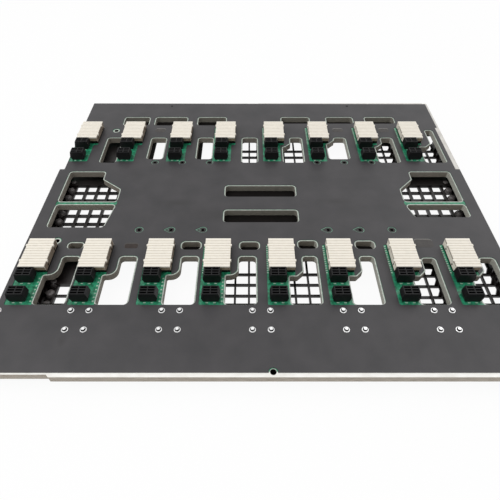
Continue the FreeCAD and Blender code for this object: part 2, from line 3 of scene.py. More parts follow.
import bmesh
import bpy
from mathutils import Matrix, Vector


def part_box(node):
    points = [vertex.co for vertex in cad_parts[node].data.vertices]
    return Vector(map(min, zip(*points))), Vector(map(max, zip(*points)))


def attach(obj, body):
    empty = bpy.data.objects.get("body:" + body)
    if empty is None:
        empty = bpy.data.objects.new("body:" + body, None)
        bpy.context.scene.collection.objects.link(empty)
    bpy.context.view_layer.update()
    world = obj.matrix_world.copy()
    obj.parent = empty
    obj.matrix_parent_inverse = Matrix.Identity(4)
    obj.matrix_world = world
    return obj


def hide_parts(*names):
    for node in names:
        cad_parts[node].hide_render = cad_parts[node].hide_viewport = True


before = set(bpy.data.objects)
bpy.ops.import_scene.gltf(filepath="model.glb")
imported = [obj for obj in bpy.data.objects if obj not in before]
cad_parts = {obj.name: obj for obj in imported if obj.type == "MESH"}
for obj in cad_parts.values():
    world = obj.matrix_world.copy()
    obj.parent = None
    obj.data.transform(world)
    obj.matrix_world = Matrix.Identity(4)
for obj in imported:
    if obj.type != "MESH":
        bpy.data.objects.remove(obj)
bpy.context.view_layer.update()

# Camera
CAMERA_PLACE = (-0.0106, -0.34806, 0.32127)
CAMERA_TILT = radians(42.946)
CAMERA_LENS = 32.904
CAMERA_SENSOR = 36.0
CAMERA_CLIP = 0.01

# Board
BOARD_LOW, BOARD_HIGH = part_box("midplane_board")
BOARD_TOP = BOARD_HIGH.z
BOARD_FRONT = BOARD_LOW.y
FRONT_STEP = 0.0021
FRONT_STEP_WIDTH = 0.0605
LEFT_INSET = 0.005
LEFT_INSET_START = 0.2435
EDGE_RADIUS = 0.0015
STEP_RADIUS = 0.0007

# Pale rim round the openings and green mask on it
RIM_THICKNESS = 0.00003
MASK_THICKNESS = 0.00006
MASK_SETBACK = 0.001
MASK_FRONT_MARGIN = 0.0042
MASK_RIGHT_MARGIN = 0.0058
MASK_LEFT_MARGIN = 0.0003

# Film
FILM_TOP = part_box("front_insulator_film")[1].z
FILM_SETBACK = 0.0012
FILM_FRONT_SETBACK = 0.0004
FILM_FRONT_MARGIN = 0.0035
FILM_BACK_MARGIN = 0.001
FILM_BACK_SKEW = 0.002
FILM_SIDE_MARGIN = 0.0004
FILM_NOTCH = 0.005
FILM_NOTCH_LENGTH = 0.082
FILM_REAR_MARGIN = 0.0024

# Blade bays, numbered from 0 at the left
BAYS = 8
ROW_NAMES = ("front", "rear")
GUARDED_BAYS = (0, 3, 4, 6, 7)
WINDOW_CLEARANCE = 0.0025
WINDOW_NARROW_CLEARANCE = 0.0019
WINDOW_FRONT_CLEARANCE = 0.004
WINDOW_STRIP = 0.0055
REAR_WINDOW_STRIP = 0.0032
SIGNAL_CLEARANCE = 0.0003

# Air openings, with what differs from bay to bay under the bay's number
OPENING_REACH = 0.0462
OPENING_PITCH_LOSS = 0.0014
OPENING_FRONT = 0.064
OPENING_LENGTH = 0.0525
SHORT_BAYS = (6, 7)
SHORT_BAY_LOSS = 0.002
RIGHT_EDGE_LOSS = {4: 0.0007, 5: 0.0009, 6: 0.0016}
OPENING_WIDTH = 0.026
OPENING_RADIUS = 0.003
NECK_WIDTH = 0.015
NECK_START = 0.031
NECK_RADIUS = 0.008
NECK_CUT = 0.006
NECK_INSET = 0.0018
NECK_ADVANCE = 0.0012
REAR_NECK_CUT = 0.007
REAR_OPENING_FRONT = 0.2555
REAR_OPENING_LENGTH = 0.048
REAR_OPENING_WIDTH = 0.0225
REAR_OPENING_SHIFT = 0.0065
REAR_PLAIN_WIDTH = 0.017
REAR_PLAIN_SHIFT = 0.003
LAST_NECK_LENGTH = 0.016
LAST_NECK_WIDTH = 0.01
OPEN_OBLONGS = (2, 3, 4, 5)
COVERED_OBLONGS = (1, 6)
SMALL_OBLONG_BAY = 0
OBLONG_FRONT = 0.125
OBLONG_WIDTH = 0.0185
OBLONG_LENGTH = 0.011
OBLONG_REACH = 0.0027
OBLONG_RADIUS = 0.0034
OBLONG_TRIM = 0.0007
OBLONG_SHIFTS = {2: (-0.0012, -0.0005), 3: (0.0009, -0.0008), 4: (-0.0007, 0.0007), 5: (0.0007, 0.0003)}
SMALL_OBLONG_INSET = 0.0015
SMALL_OBLONG_TRIM = 0.0035
SMALL_OBLONG_LENGTH = 0.007
SMALL_OBLONG_RADIUS = 0.0026
LEFT_BACK_SLOTS = ((-0.1638, 0.030), (-0.126, 0.0385), (-0.074, 0.034))
RIGHT_BACK_SLOTS = ((0.0278, 0.034), (0.083, 0.032), (0.1305, 0.035))
BACK_SLOT_END = 0.3485
LEFT_BACK_SLOT_LENGTH = 0.018
RIGHT_BACK_SLOT_LENGTH = 0.014
MIDDLE_SLOT_WIDTH = 0.0715
MIDDLE_SLOT_LENGTH = 0.017
MIDDLE_SLOT_FRONTS = (0.161, 0.1985)
SIDE_OUTER = 0.203
SIDE_BAR_FRONT = 0.186
SIDE_BAR_WIDTH = 0.005
SIDE_BACK = 0.239
SIDE_INNER = 0.1445
SIDE_SHOULDER_LEFT = 0.1655
SIDE_SHOULDER_RIGHT = 0.160
SIDE_SHOULDER_DROP = 0.013
SIDE_SLOPE = 0.016
SIDE_FRONT_LEFT = 0.154
SIDE_FRONT_RIGHT = 0.168
SIDE_FRONT_INNER = 0.150

# Round holes
GUIDE_LINE_X = 0.004
GUIDE_FIRST = 0.059
GUIDE_PITCH = 0.030
GUIDES_PER_SIDE = 3
GUIDE_FRONT = 0.1505
GUIDE_SPAN = 0.1055
GUIDE_HOLE_RADIUS = 0.0017
GUIDE_RING = 0.0023
RING_LINE = 0.0006
RING_TURN = radians(120)
TAIL_REACH = 0.0034
TAIL_DOT_REACH = 0.0027
TAIL_DOT_RADIUS = 0.0005
LOCATING_HOLE_X = 0.0063
LOCATING_HOLE_FRONT = 0.0041
LOCATING_HOLE_RADIUS = 0.0024
LOCATING_RING = 0.001
SIDE_HOLES = ((-0.1882, 0.136), (-0.1698, 0.319))
SIDE_HOLE_RADIUS = 0.0024
SIDE_HOLE_RING = 0.0019

# Signal connectors
SIGNAL_RIDGES = 11
GROOVE_WIDTH = 0.0006
GROOVE_DEPTH = 0.0004
LIP_HEIGHT = 0.0014
FACE_RECESS = 0.0005
FOOT_RECESS = 0.0016
FOOT_HEIGHT = 0.0038
INSET_BAYS = (5, 6, 7)
SIGNAL_LEFT_INSET = 0.001
NUB_REACH = 0.0009
NUB_LENGTH = 0.002
NUB_HEIGHT = 0.002
SIDE_SHADOW_HEIGHT = 0.0018
SIDE_LINE_DROP = 0.0009
SIDE_LINE_HEIGHT = 0.0007
NUB_PLACES = (0.22, 0.76)
PANEL_MARGIN = 0.0006
PANEL_REACH = 0.0001
TICK_WIDTH = 0.0016
TICK_LENGTH = 0.0013
TICK_GAP = 0.0002
TICK_PITCH = 0.0026
NOTCH_SIZE = 0.0018

# Power connectors
POWER_DEPTH = 0.0085
POWER_FOOT_INSET = 0.0012
POWER_WAIST = 0.0043
POWER_WAIST_OUTSET = 0.0003
POWER_TOP_INSET = 0.0009
POWER_OUTSET = 0.0005
CAVITY_COLUMNS = 2
CAVITY_ROWS = 3
CAVITY_WALL = 0.0009
CAVITY_DEPTH = 0.004
PAD_WIDTH = 0.0022
PAD_LENGTH = 0.0009
PAD_GAP = 0.0011
PAD_OFFSET = 0.0031
VIA_RADIUS = 0.0008
VIA_PITCH = 0.004
VIA_SIDES = 12
VIA_BAYS = 4
VIA_GAP = 0.0023

# Air guards
BAR_WIDTH = 0.0018
SIDE_GUARD_BAR_WIDTH = 0.0028
BAR_HEIGHT = 0.0024
GUSSET_REACH = 0.0042
GUSSET_RISE = 0.0085
GUSSET_GUARDS = ("air_guard_front_1", "air_guard_front_7", "air_guard_front_8", "air_guard_rear_7",
                 "air_guard_rear_8", "air_guard_side_left", "air_guard_side_right")
FILLED_GUARDS = ("air_guard_front_1", "air_guard_side_left")
LUMP_GUARDS = {"air_guard_front_1": -1, "air_guard_side_left": -1, "air_guard_side_right": 1}
LUMP_INSET = 0.0085
LUMP_STEPS = ((0.0042, 0.0), (0.0042, 0.0022), (0.0033, 0.0042), (0.0016, 0.0052))
LUMP_SIDES = 20
GRID_PITCH = 0.0121
BEND_RADIUS = 0.0035
WALL_THICKNESS = 0.0012
TIE_FRONT = 0.003
RIGHT_TIE_SHIFT = -0.0019
BAR_SHIFTS = {"air_guard_front_7": -0.0016}
TIE_BACK = 0.015
CLOSED_LENGTHS = {"air_guard_front_1": 0.030, "air_guard_front_7": 0.0113, "air_guard_rear_1": 0.043,
                  "air_guard_rear_7": 0.009, "air_guard_side_left": 0.0205, "air_guard_side_right": 0.0205}
CLOSED_THICKNESS = 0.0022

# Screws of the rear supply connectors
SCREW_REACH = 0.0292
SCREW_ROWS = (0.0398, 0.0579)
SCREW_RADIUS = 0.0014
SCREW_HEIGHT = 0.0021
SCREW_CHAMFER = 0.0003
WASHER_RADIUS = 0.0027
WASHER_HEIGHT = 0.0006
WASHER_GROOVE_RADIUS = 0.002
SUPPLIES = 6

# Marks on the film
DENTED_BAY = 1
CREASED_BAY = 6
CREASE_WIDTH = 0.0009
CREASE_GROWTH = 0.00015
CREASE_SHIFT = 0.003
DENT_RIM = 0.0008
REAR_CREASE_BAYS = (1, 5, 6)
REAR_CREASE_FRONT = 0.3165
REAR_CREASE_SIZE = (0.0125, 0.007)
SMUDGES = (((-0.083, -0.0025), (0.024, 0.006)), ((0.076, -0.0005), (0.022, 0.006)),
           ((-0.154, -0.1615), (0.004, 0.006)), ((-0.03, -0.02), (0.06, 0.014)))
SMUDGE_COLOUR = (36, 34, 34)
SMUDGE_NOISE = 1.6
SMUDGE_CORE = 0.1
BACK_DOTS = (-0.110, 0.113)
BACK_DOT_MARGIN = 0.008
BACK_DOT_RADIUS = 0.0013

# Painted shade: black strips under the open rear bays, and a darker right margin
SHADE_STRIP_BAYS = (1, 2)
SHADE_STRIP_WIDTH = 0.0045
SHADE_STRIP_THICKNESS = 0.0003
MARGIN_FRONT = 0.012

# Stage, with each lamp's place, size and power
WHITE = (1, 1, 1, 1)
FLOOR_REACH = 6.0
FLOOR_COLOUR = (0.9, 0.9, 0.9, 1)
FLOOR_ROUGHNESS = 0.9
FLOOR_GLOW = 0.94
WORLD_LIGHT = 0.5
LAMPS = {"key": ((-0.9, -0.3, 1.5), 1.2, 15), "fill": ((0.9, 0.6, 1.4), 1.4, 7)}

# Meshes and noise
ARC_STEP = radians(15)
CIRCLE_SIDES = 32
FLAT_LIFT = 0.00004
WELD_DISTANCE = 1e-7
SMOOTH_ANGLE = radians(30)
UPRIGHT = 0.5
NOISE_SPREAD = (0.3, 0.7)
SIDES = (-1, 1)


def linear(red, green, blue):
    """Colour for a shader from 8-bit display values, by the curve of standard displays."""
    def channel(value):
        share = value / 255
        if share <= 0.04045:
            return share / 12.92
        return ((share + 0.055) / 1.055) ** 2.4
    return (channel(red), channel(green), channel(blue), 1.0)


# Outlines, as lists of points


def from_front(distance):
    """Y of a point at this distance from the board's front edge."""
    return BOARD_FRONT + distance


def winding(points):
    """Twice the area in an outline, above zero where it runs anticlockwise."""
    steps = zip([points[-1], *points], points)
    return sum(before[0] * after[1] - after[0] * before[1] for before, after in steps)


def anticlockwise(points):
    """The same outline, turned to run anticlockwise."""
    return points if winding(points) > 0 else points[::-1]


def rounded(corners):
    """Points of an anticlockwise outline through corners (x, y, radius), each rounded."""
    points = []
    count = len(corners)
    for index, (x, y, radius) in enumerate(corners):
        corner = Vector((x, y))
        before = (Vector(corners[index - 1][:2]) - corner).normalized()
        after = (Vector(corners[(index + 1) % count][:2]) - corner).normalized()
        half_sine = sqrt((1 - before.dot(after)) / 2)
        half_cosine = sqrt((1 + before.dot(after)) / 2)
        centre = corner + (before + after).normalized() * (radius / half_sine)
        start = corner + before * (radius * half_cosine / half_sine) - centre
        turn = pi - before.angle(after)
        steps = max(1, round(turn / ARC_STEP))
        sense = 1 if before.x * after.y - before.y * after.x < 0 else -1
        for step in range(steps + 1):
            angle = sense * turn * step / steps
            points.append((centre.x + start.x * cos(angle) - start.y * sin(angle),
                           centre.y + start.x * sin(angle) + start.y * cos(angle)))
    return anticlockwise(points)


def rectangle(left, right, front, back, radius):
    """Corners of a rectangle between two X and two Y values."""
    return [(left, front, radius), (right, front, radius), (right, back, radius), (left, back, radius)]


def circle(x, y, radius, sides=CIRCLE_SIDES):
    """Points of a circle."""
    turns = [2 * pi * number / sides for number in range(sides)]
    return [(x + radius * cos(turn), y + radius * sin(turn)) for turn in turns]


def grown(corners, distance):
    """The same corners, each side moved outward by a distance."""
    count = len(corners)
    outward = 1 if winding(corners) > 0 else -1
    moved = []
    for index, (x, y, radius) in enumerate(corners):
        corner = Vector((x, y))
        along = (corner - Vector(corners[index - 1][:2])).normalized()
        onward = (Vector(corners[(index + 1) % count][:2]) - corner).normalized()
        normal = Vector((along.y, -along.x)) * outward
        next_normal = Vector((onward.y, -onward.x)) * outward
        shift = (normal + next_normal) * (distance / (1 + normal.dot(next_normal)))
        convex = (along.x * onward.y - along.y * onward.x) * outward > 0
        bend_radius = radius + distance if convex else max(radius - distance, EDGE_RADIUS)
        moved.append((x + shift.x, y + shift.y, bend_radius))
    return moved


def bay_left(bay):
    """X of the left side of a bay's connectors."""
    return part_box(f"signal_connector_front_{bay + 1}")[0].x


def opening_right(bay):
    """X of the right edge of a bay's air opening."""
    return bay_left(bay) + OPENING_REACH - OPENING_PITCH_LOSS * (bay // 2)


def necked_opening(right, front, width, length, cut, neck_width):
    """Corners of an air opening that narrows round the signal connector's corner, bent or cut off there."""
    neck = right - neck_width
    step = front + NECK_START
    inner = [(neck, step, NECK_RADIUS)]
    if cut:
        neck += NECK_INSET
        step -= NECK_ADVANCE
        inner = [(neck, step + cut, EDGE_RADIUS), (neck - cut, step, EDGE_RADIUS)]
    return [
        (right - width, front, OPENING_RADIUS),
        (right, front, OPENING_RADIUS),
        (right, front + length, OPENING_RADIUS),
        (neck, front + length, OPENING_RADIUS),
        *inner,
        (right - width, step, EDGE_RADIUS),
    ]


def front_opening(bay):
    """Air opening in the front row."""
    loss = RIGHT_EDGE_LOSS.get(bay, 0)
    right = opening_right(bay) - loss
    cut = NECK_CUT if bay >= BAYS // 2 else 0
    length = OPENING_LENGTH - (SHORT_BAY_LOSS if bay in SHORT_BAYS else 0)
    front = from_front(OPENING_FRONT)
    return necked_opening(right, front, OPENING_WIDTH - loss, length, cut, NECK_WIDTH - loss)


def rear_opening(bay):
    """Air opening in the rear row: plain in the left half, necked in the right half."""
    front = from_front(REAR_OPENING_FRONT)
    back = front + REAR_OPENING_LENGTH
    right = opening_right(bay)
    if bay not in GUARDED_BAYS:
        front += REAR_OPENING_SHIFT
    if bay < BAYS // 2:
        right += REAR_PLAIN_SHIFT
        return rectangle(right - REAR_PLAIN_WIDTH, right, front, back, OPENING_RADIUS)
    neck_width = NECK_WIDTH
    if bay == BAYS - 1:
        back += LAST_NECK_LENGTH
        neck_width = LAST_NECK_WIDTH
    return necked_opening(right, front, REAR_OPENING_WIDTH, back - front, REAR_NECK_CUT, neck_width)


def oblong_slot(bay):
    """Oblong slot behind a front opening, a little off its line in some bays."""
    shift_x, shift_y = OBLONG_SHIFTS.get(bay, (0, 0))
    right = opening_right(bay) + OBLONG_REACH + shift_x
    front = from_front(OBLONG_FRONT) + shift_y
    return rectangle(right - OBLONG_WIDTH + OBLONG_TRIM, right - OBLONG_TRIM,
                     front + OBLONG_TRIM, front + OBLONG_LENGTH - OBLONG_TRIM, OBLONG_RADIUS)


def small_oblong(bay):
    """Smaller oblong, the slot of the first bay and the dent of the next."""
    right = opening_right(bay) + OBLONG_REACH
    left = right - OBLONG_WIDTH + SMALL_OBLONG_INSET
    front = from_front(OBLONG_FRONT) + SMALL_OBLONG_INSET
    back = front + SMALL_OBLONG_LENGTH
    return rectangle(left, right - SMALL_OBLONG_TRIM, front, back, SMALL_OBLONG_RADIUS)


def back_slots():
    """Slots along the back edge."""
    back = from_front(BACK_SLOT_END)
    groups = ((LEFT_BACK_SLOTS, LEFT_BACK_SLOT_LENGTH), (RIGHT_BACK_SLOTS, RIGHT_BACK_SLOT_LENGTH))
    return [rectangle(left, left + width, back - length, back, OPENING_RADIUS)
            for slots, length in groups for left, width in slots]


def middle_slots():
    """Pair of long slots in the middle of the board."""
    half = MIDDLE_SLOT_WIDTH / 2
    fronts = [from_front(distance) for distance in MIDDLE_SLOT_FRONTS]
    return [rectangle(-half, half, front, front + MIDDLE_SLOT_LENGTH, OPENING_RADIUS) for front in fronts]


def side_openings(side):
    """Back and front halves of a side opening, on the left (-1) or right (1)."""
    bar_front = from_front(SIDE_BAR_FRONT)
    bar_back = bar_front + SIDE_BAR_WIDTH
    back = from_front(SIDE_BACK)
    front = from_front(SIDE_FRONT_LEFT if side < 0 else SIDE_FRONT_RIGHT)
    shoulder_x = SIDE_SHOULDER_LEFT if side < 0 else SIDE_SHOULDER_RIGHT
    shoulder_y = back - SIDE_SHOULDER_DROP
    back_half = [
        (SIDE_OUTER, bar_back),
        (SIDE_OUTER, back),
        (shoulder_x, back),
        (shoulder_x, shoulder_y),
        (SIDE_INNER, shoulder_y - SIDE_SLOPE),
        (SIDE_INNER, bar_back),
    ]
    front_half = [
        (SIDE_OUTER, front),
        (SIDE_OUTER, bar_front),
        (SIDE_INNER, bar_front),
        (SIDE_FRONT_INNER, front),
    ]
    return [[(side * x, y, OPENING_RADIUS) for x, y in half] for half in (back_half, front_half)]


def bare_bar(side):
    """Zone of the bar across a side opening, which the film leaves bare."""
    left, right = sorted((side * SIDE_INNER, side * SIDE_OUTER))
    front = from_front(SIDE_BAR_FRONT)
    return rectangle(left, right, front, front + SIDE_BAR_WIDTH, EDGE_RADIUS)


def guide_holes():
    """Place of each guide-pin hole."""
    offsets = [GUIDE_FIRST + GUIDE_PITCH * number for number in range(GUIDES_PER_SIDE)]
    rows = (from_front(GUIDE_FRONT), from_front(GUIDE_FRONT + GUIDE_SPAN))
    return [(GUIDE_LINE_X + side * offset, y) for y in rows for side in SIDES for offset in offsets]


def has_tail(x, y):
    """Whether a guide-pin hole's ring is drawn out to the left: in the front row, but not at its ends."""
    inner = GUIDE_FIRST + GUIDE_PITCH * (GUIDES_PER_SIDE - 1) - GUIDE_PITCH / 2
    return y < from_front(GUIDE_FRONT + GUIDE_RING) and abs(x - GUIDE_LINE_X) < inner


def guide_outline(x, y, radius, reach):
    """Circle round a guide-pin hole, drawn out to a point on the left."""
    steps = CIRCLE_SIDES - 1
    turns = [RING_TURN * (2 * number / steps - 1) for number in range(CIRCLE_SIDES)]
    if not has_tail(x, y):
        return circle(x, y, radius)
    return [(x + radius * cos(turn), y + radius * sin(turn)) for turn in turns] + [(x - radius - reach, y)]


def round_holes():
    """Each round hole in the board as its X, Y, radius and the bare ring round it."""
    holes = [(x, y, GUIDE_HOLE_RADIUS, GUIDE_RING) for x, y in guide_holes()]
    holes.append((LOCATING_HOLE_X, from_front(LOCATING_HOLE_FRONT), LOCATING_HOLE_RADIUS, LOCATING_RING))
    holes += [(x, from_front(distance), SIDE_HOLE_RADIUS, SIDE_HOLE_RING) for x, distance in SIDE_HOLES]
    return holes


def shown_openings():
    """Openings that the board, the mask and the front film all leave free."""
    openings = [front_opening(bay) for bay in range(BAYS)]
    openings += [rear_opening(bay) for bay in range(BAYS)]
    openings += [oblong_slot(bay) for bay in OPEN_OBLONGS] + [small_oblong(SMALL_OBLONG_BAY)]
    openings += back_slots() + middle_slots()
    for side in SIDES:
        openings += side_openings(side)
    return openings


def connector_window(node, power_node):
    """Zone round a bay's connectors that the film leaves bare, narrower in the right half."""
    signal_low, signal_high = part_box(node)
    power_low, power_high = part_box(power_node)
    left = power_low.x - (WINDOW_CLEARANCE if power_low.x < 0 else WINDOW_NARROW_CLEARANCE)
    front = power_low.y - WINDOW_FRONT_CLEARANCE
    power_right = power_high.x + (WINDOW_STRIP if power_low.y < 0 else REAR_WINDOW_STRIP)
    signal_right = signal_high.x + SIGNAL_CLEARANCE
    shoulder = signal_low.y - WINDOW_CLEARANCE
    back = signal_high.y + SIGNAL_CLEARANCE
    corners = [
        (left, front),
        (power_right, front),
        (power_right, shoulder),
        (signal_right, shoulder),
        (signal_right, back),
        (left, back),
    ]
    return [(x, y, EDGE_RADIUS) for x, y in corners]


def bay_nodes():
    """Names of each bay's signal and power connectors."""
    names = [f"{row}_{bay + 1}" for row in ROW_NAMES for bay in range(BAYS)]
    return [(f"signal_connector_{name}", f"power_connectors_{name}") for name in names]


# Meshes


class Solid:
    """Faces of one piece in the shared frame, of one main material and some others."""

    def __init__(self, material=None):
        self.material = material
        self.points = []
        self.faces = []
        self.materials = []

    def add(self, points, faces, material=None):
        """Faces given by the numbers of their points."""
        first = len(self.points)
        self.points += points
        self.faces += [[first + index for index in face] for face in faces]
        self.materials += [material or self.material] * len(faces)

    def stack(self, rings, material=None):
        """Closed shape through rings of points, each anticlockwise seen from the last ring's side."""
        count = len(rings[0])
        last = count * (len(rings) - 1)
        faces = [list(reversed(range(count))), list(range(last, last + count))]
        for base in range(0, last, count):
            for near in range(count):
                far = (near + 1) % count
                faces.append([base + near, base + far, base + count + far, base + count + near])
        self.add([point for ring in rings for point in ring], faces, material)

    def prism(self, outline, bottom, top, material=None):
        """Upright prism on an outline of (x, y) points that runs anticlockwise."""
        self.stack([[(x, y, z) for x, y in outline] for z in (bottom, top)], material)

    def along_x(self, profile, left, right, material=None):
        """Prism along X on a profile of (y, z) points that runs anticlockwise seen from +X."""
        self.stack([[(x, y, z) for y, z in profile] for x in (left, right)], material)

    def along_y(self, profile, front, back, material=None):
        """Prism along Y on a profile of (x, z) points that runs anticlockwise seen from -Y."""
        self.stack([[(x, y, z) for x, z in profile] for y in (back, front)], material)

    def box(self, corner, opposite, material=None):
        """Box between two opposite corners."""
        (left, right), (front, back), (bottom, top) = map(sorted, zip(corner, opposite))
        self.prism([(left, front), (right, front), (right, back), (left, back)], bottom, top, material)

    def turned(self, x, y, steps, sides, material=None):
        """Turned shape about an upright axis through steps of (radius, z), closed at both ends."""
        rings = [[(*place, z) for place in circle(x, y, radius, sides)] for radius, z in steps]
        self.stack(rings, material)

    def band(self, outer, inner, bottom, top, material=None):
        """Flat ring between two anticlockwise outlines with as many points."""
        count = len(outer)
        rings = ((inner, bottom), (outer, bottom), (outer, top), (inner, top))
        points = [(*place, z) for outline, z in rings for place in outline]
        faces = []
        for ring in range(len(rings)):
            base, onward = ring * count, (ring + 1) % len(rings) * count
            faces += [[base + i, base + (i + 1) % count, onward + (i + 1) % count, onward + i]
                      for i in range(count)]
        self.add(points, faces, material)

    def stepped_top(self, xs, ys, tops, bottom):
        """Block on a grid of X and Y values whose cells have their own top heights."""
        columns = len(xs) - 1
        rows = len(ys) - 1

        def height(column, row):
            inside = 0 <= column < columns and 0 <= row < rows
            return tops[row][column] if inside else bottom

        def wall(first, second, near, far):
            low, high = sorted((near, far))
            corners = [(*first, low), (*second, low), (*second, high), (*first, high)]
            self.add(corners, [[0, 1, 2, 3] if near > far else [3, 2, 1, 0]])

        for row in range(rows):
            for column in range(columns):
                left, right, front, back = xs[column], xs[column + 1], ys[row], ys[row + 1]
                top = height(column, row)
                cell = [(left, front), (right, front), (right, back), (left, back)]
                self.add([(*place, top) for place in cell], [[0, 1, 2, 3]])
                self.add([(*place, bottom) for place in cell], [[3, 2, 1, 0]])
        for row in range(rows):
            for column in range(columns + 1):
                near, far = height(column - 1, row), height(column, row)
                if near != far:
                    wall((xs[column], ys[row]), (xs[column], ys[row + 1]), near, far)
        for column in range(columns):
            for row in range(rows + 1):
                near, far = height(column, row), height(column, row - 1)
                if near != far:
                    wall((xs[column], ys[row]), (xs[column + 1], ys[row]), near, far)

    def mesh(self, name):
        """Mesh of these faces."""
        mesh = bpy.data.meshes.new(name)
        mesh.from_pydata(self.points, [], self.faces)
        return mesh

    def build(self, name, smooth=None):
        """Object of these faces, welded, on the root body."""
        mesh = self.mesh(name)
        materials = list(dict.fromkeys(self.materials))
        for polygon, material in zip(mesh.polygons, self.materials):
            polygon.material_index = materials.index(material)
        return finished(name, mesh, materials, smooth)


def finished(name, mesh, materials, smooth=None):
    """Object of a mesh, welded and with its materials, on the root body."""
    work = bmesh.new()
    work.from_mesh(mesh)
    bmesh.ops.remove_doubles(work, verts=work.verts, dist=WELD_DISTANCE)
    work.to_mesh(mesh)
    work.free()
    for material in materials:
        mesh.materials.append(material)
    if smooth:
        mesh.shade_smooth()
        mesh.set_sharp_from_angle(angle=smooth)
    piece = bpy.data.objects.new(name, mesh)
    bpy.context.scene.collection.objects.link(piece)
    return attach(piece, "root")


def cut_plate(name, outline, holes, bottom, top, materials):
    """Flat plate with holes, which may overlap each other."""
    blank = Solid()
    blank.prism(outline, bottom, top)
    margin = top - bottom
    cutter = Solid()
    for hole in holes:
        cutter.prism(hole, bottom - margin, top + margin)
    objects = []
    for solid in (blank, cutter):
        objects.append(bpy.data.objects.new(name + "_blank", solid.mesh(name)))
        bpy.context.scene.collection.objects.link(objects[-1])
    cut = objects[0].modifiers.new("cut", "BOOLEAN")
    cut.operation = "DIFFERENCE"
    cut.solver = "EXACT"
    cut.use_self = True
    cut.object = objects[1]
    shown = objects[0].evaluated_get(bpy.context.evaluated_depsgraph_get())
    mesh = bpy.data.meshes.new_from_object(shown)
    for blank_object in objects:
        bpy.data.objects.remove(blank_object)
    mesh.name = name
    return finished(name, mesh, materials)


# Materials


def add_node(tree, kind, inputs, operation=None):
    """New shader node with some of its inputs set."""
    node = tree.nodes.new("ShaderNode" + kind)
    for name, value in inputs.items():
        node.inputs[name].default_value = value
    if operation:
        node.operation = operation
    return node


def noise_material(name, dark, light, scale, roughness,
                   metallic=0.0, stretch=(1, 1, 1), detail=4.0, shine=0.5):
    """Surface whose colour wanders between two display colours with a noise in the shared frame."""
    material = bpy.data.materials.new(name)
    material.use_nodes = True
    tree = material.node_tree
    shader = tree.nodes["Principled BSDF"]
    shader.inputs["Roughness"].default_value = roughness
    shader.inputs["Metallic"].default_value = metallic
    shader.inputs["Specular IOR Level"].default_value = shine
    place = add_node(tree, "TexCoord", {})
    mapping = add_node(tree, "Mapping", {"Scale": stretch})
    noise = add_node(tree, "TexNoise", {"Scale": scale, "Detail": detail})
    ramp = add_node(tree, "ValToRGB", {})
    for stop, position, colour in zip(ramp.color_ramp.elements, NOISE_SPREAD, (dark, light)):
        stop.position = position
        stop.color = linear(*colour)
    tree.links.new(place.outputs["Object"], mapping.inputs["Vector"])
    tree.links.new(mapping.outputs["Vector"], noise.inputs["Vector"])
    tree.links.new(noise.outputs["Fac"], ramp.inputs["Fac"])
    tree.links.new(ramp.outputs["Color"], shader.inputs["Base Color"])
    return material


def add_smudge(tree, centre, reach):
    """Soft dark smudge on a material, about a centre in the shared frame."""
    colour = tree.nodes["Principled BSDF"].inputs["Base Color"]
    place = add_node(tree, "TexCoord", {})
    mapping = add_node(tree, "Mapping", {"Location": (-centre[0] / reach[0], -centre[1] / reach[1], 0),
                                         "Scale": (1 / reach[0], 1 / reach[1], 0)})
    noise = add_node(tree, "TexNoise", {"Scale": SMUDGE_NOISE})
    length = add_node(tree, "VectorMath", {}, "LENGTH")
    fade = add_node(tree, "MapRange", {"From Min": 1.0, "From Max": SMUDGE_CORE})
    share = add_node(tree, "Math", {}, "MULTIPLY")
    mix = add_node(tree, "MixRGB", {"Color2": linear(*SMUDGE_COLOUR)})
    tree.links.new(place.outputs["Object"], mapping.inputs["Vector"])
    tree.links.new(mapping.outputs["Vector"], noise.inputs["Vector"])
    tree.links.new(mapping.outputs["Vector"], length.inputs[0])
    tree.links.new(length.outputs["Value"], fade.inputs["Value"])
    tree.links.new(fade.outputs["Result"], share.inputs[0])
    tree.links.new(noise.outputs["Fac"], share.inputs[1])
    tree.links.new(share.outputs["Value"], mix.inputs["Fac"])
    tree.links.new(colour.links[0].from_socket, mix.inputs["Color1"])
    tree.links.new(mix.outputs["Color"], colour)


bare_metal = noise_material("bare_metal", (234, 232, 226), (252, 251, 247),
                            scale=260, roughness=0.45, stretch=(0.4, 1, 1))
# Darker copy of the bare metal: painted shade on the right margin, which gets less light.
side_metal = noise_material("side_metal", (196, 193, 187), (222, 219, 213),
                            scale=260, roughness=0.5, stretch=(1, 0.4, 1))
edge_metal = noise_material("edge_metal", (148, 138, 125), (186, 176, 163),
                            scale=500, roughness=0.5, stretch=(0.3, 1, 3))
rim_pale = noise_material("rim_pale", (161, 169, 160), (204, 209, 201),
                          scale=500, roughness=0.5, shine=0.3)
laminate = noise_material("laminate", (112, 107, 98), (148, 142, 131),
                          scale=700, roughness=0.7, stretch=(0.3, 0.3, 4))
# Paler copy of the laminate: painted highlight on walls that face the key lamp.
lit_laminate = noise_material("lit_laminate", (158, 158, 148), (190, 190, 180),
                              scale=700, roughness=0.7, stretch=(0.3, 0.3, 4))
slot_wall = noise_material("slot_wall", (112, 110, 102), (148, 144, 134),
                           scale=700, roughness=0.7, stretch=(0.3, 0.3, 4), shine=0.2)
mask_green = noise_material("mask_green", (8, 76, 50), (48, 154, 114),
                            scale=380, roughness=0.35, detail=8)
ring_green = noise_material("ring_green", (96, 150, 126), (140, 175, 155),
                            scale=900, roughness=0.5, shine=0.3)
film_grey = noise_material("film_grey", (45, 44, 46), (58, 56, 58),
                           scale=45, roughness=0.5, detail=8, shine=0.45)
film_ring = noise_material("film_ring", (44, 44, 44), (62, 60, 60), scale=700, roughness=0.6, shine=0.3)
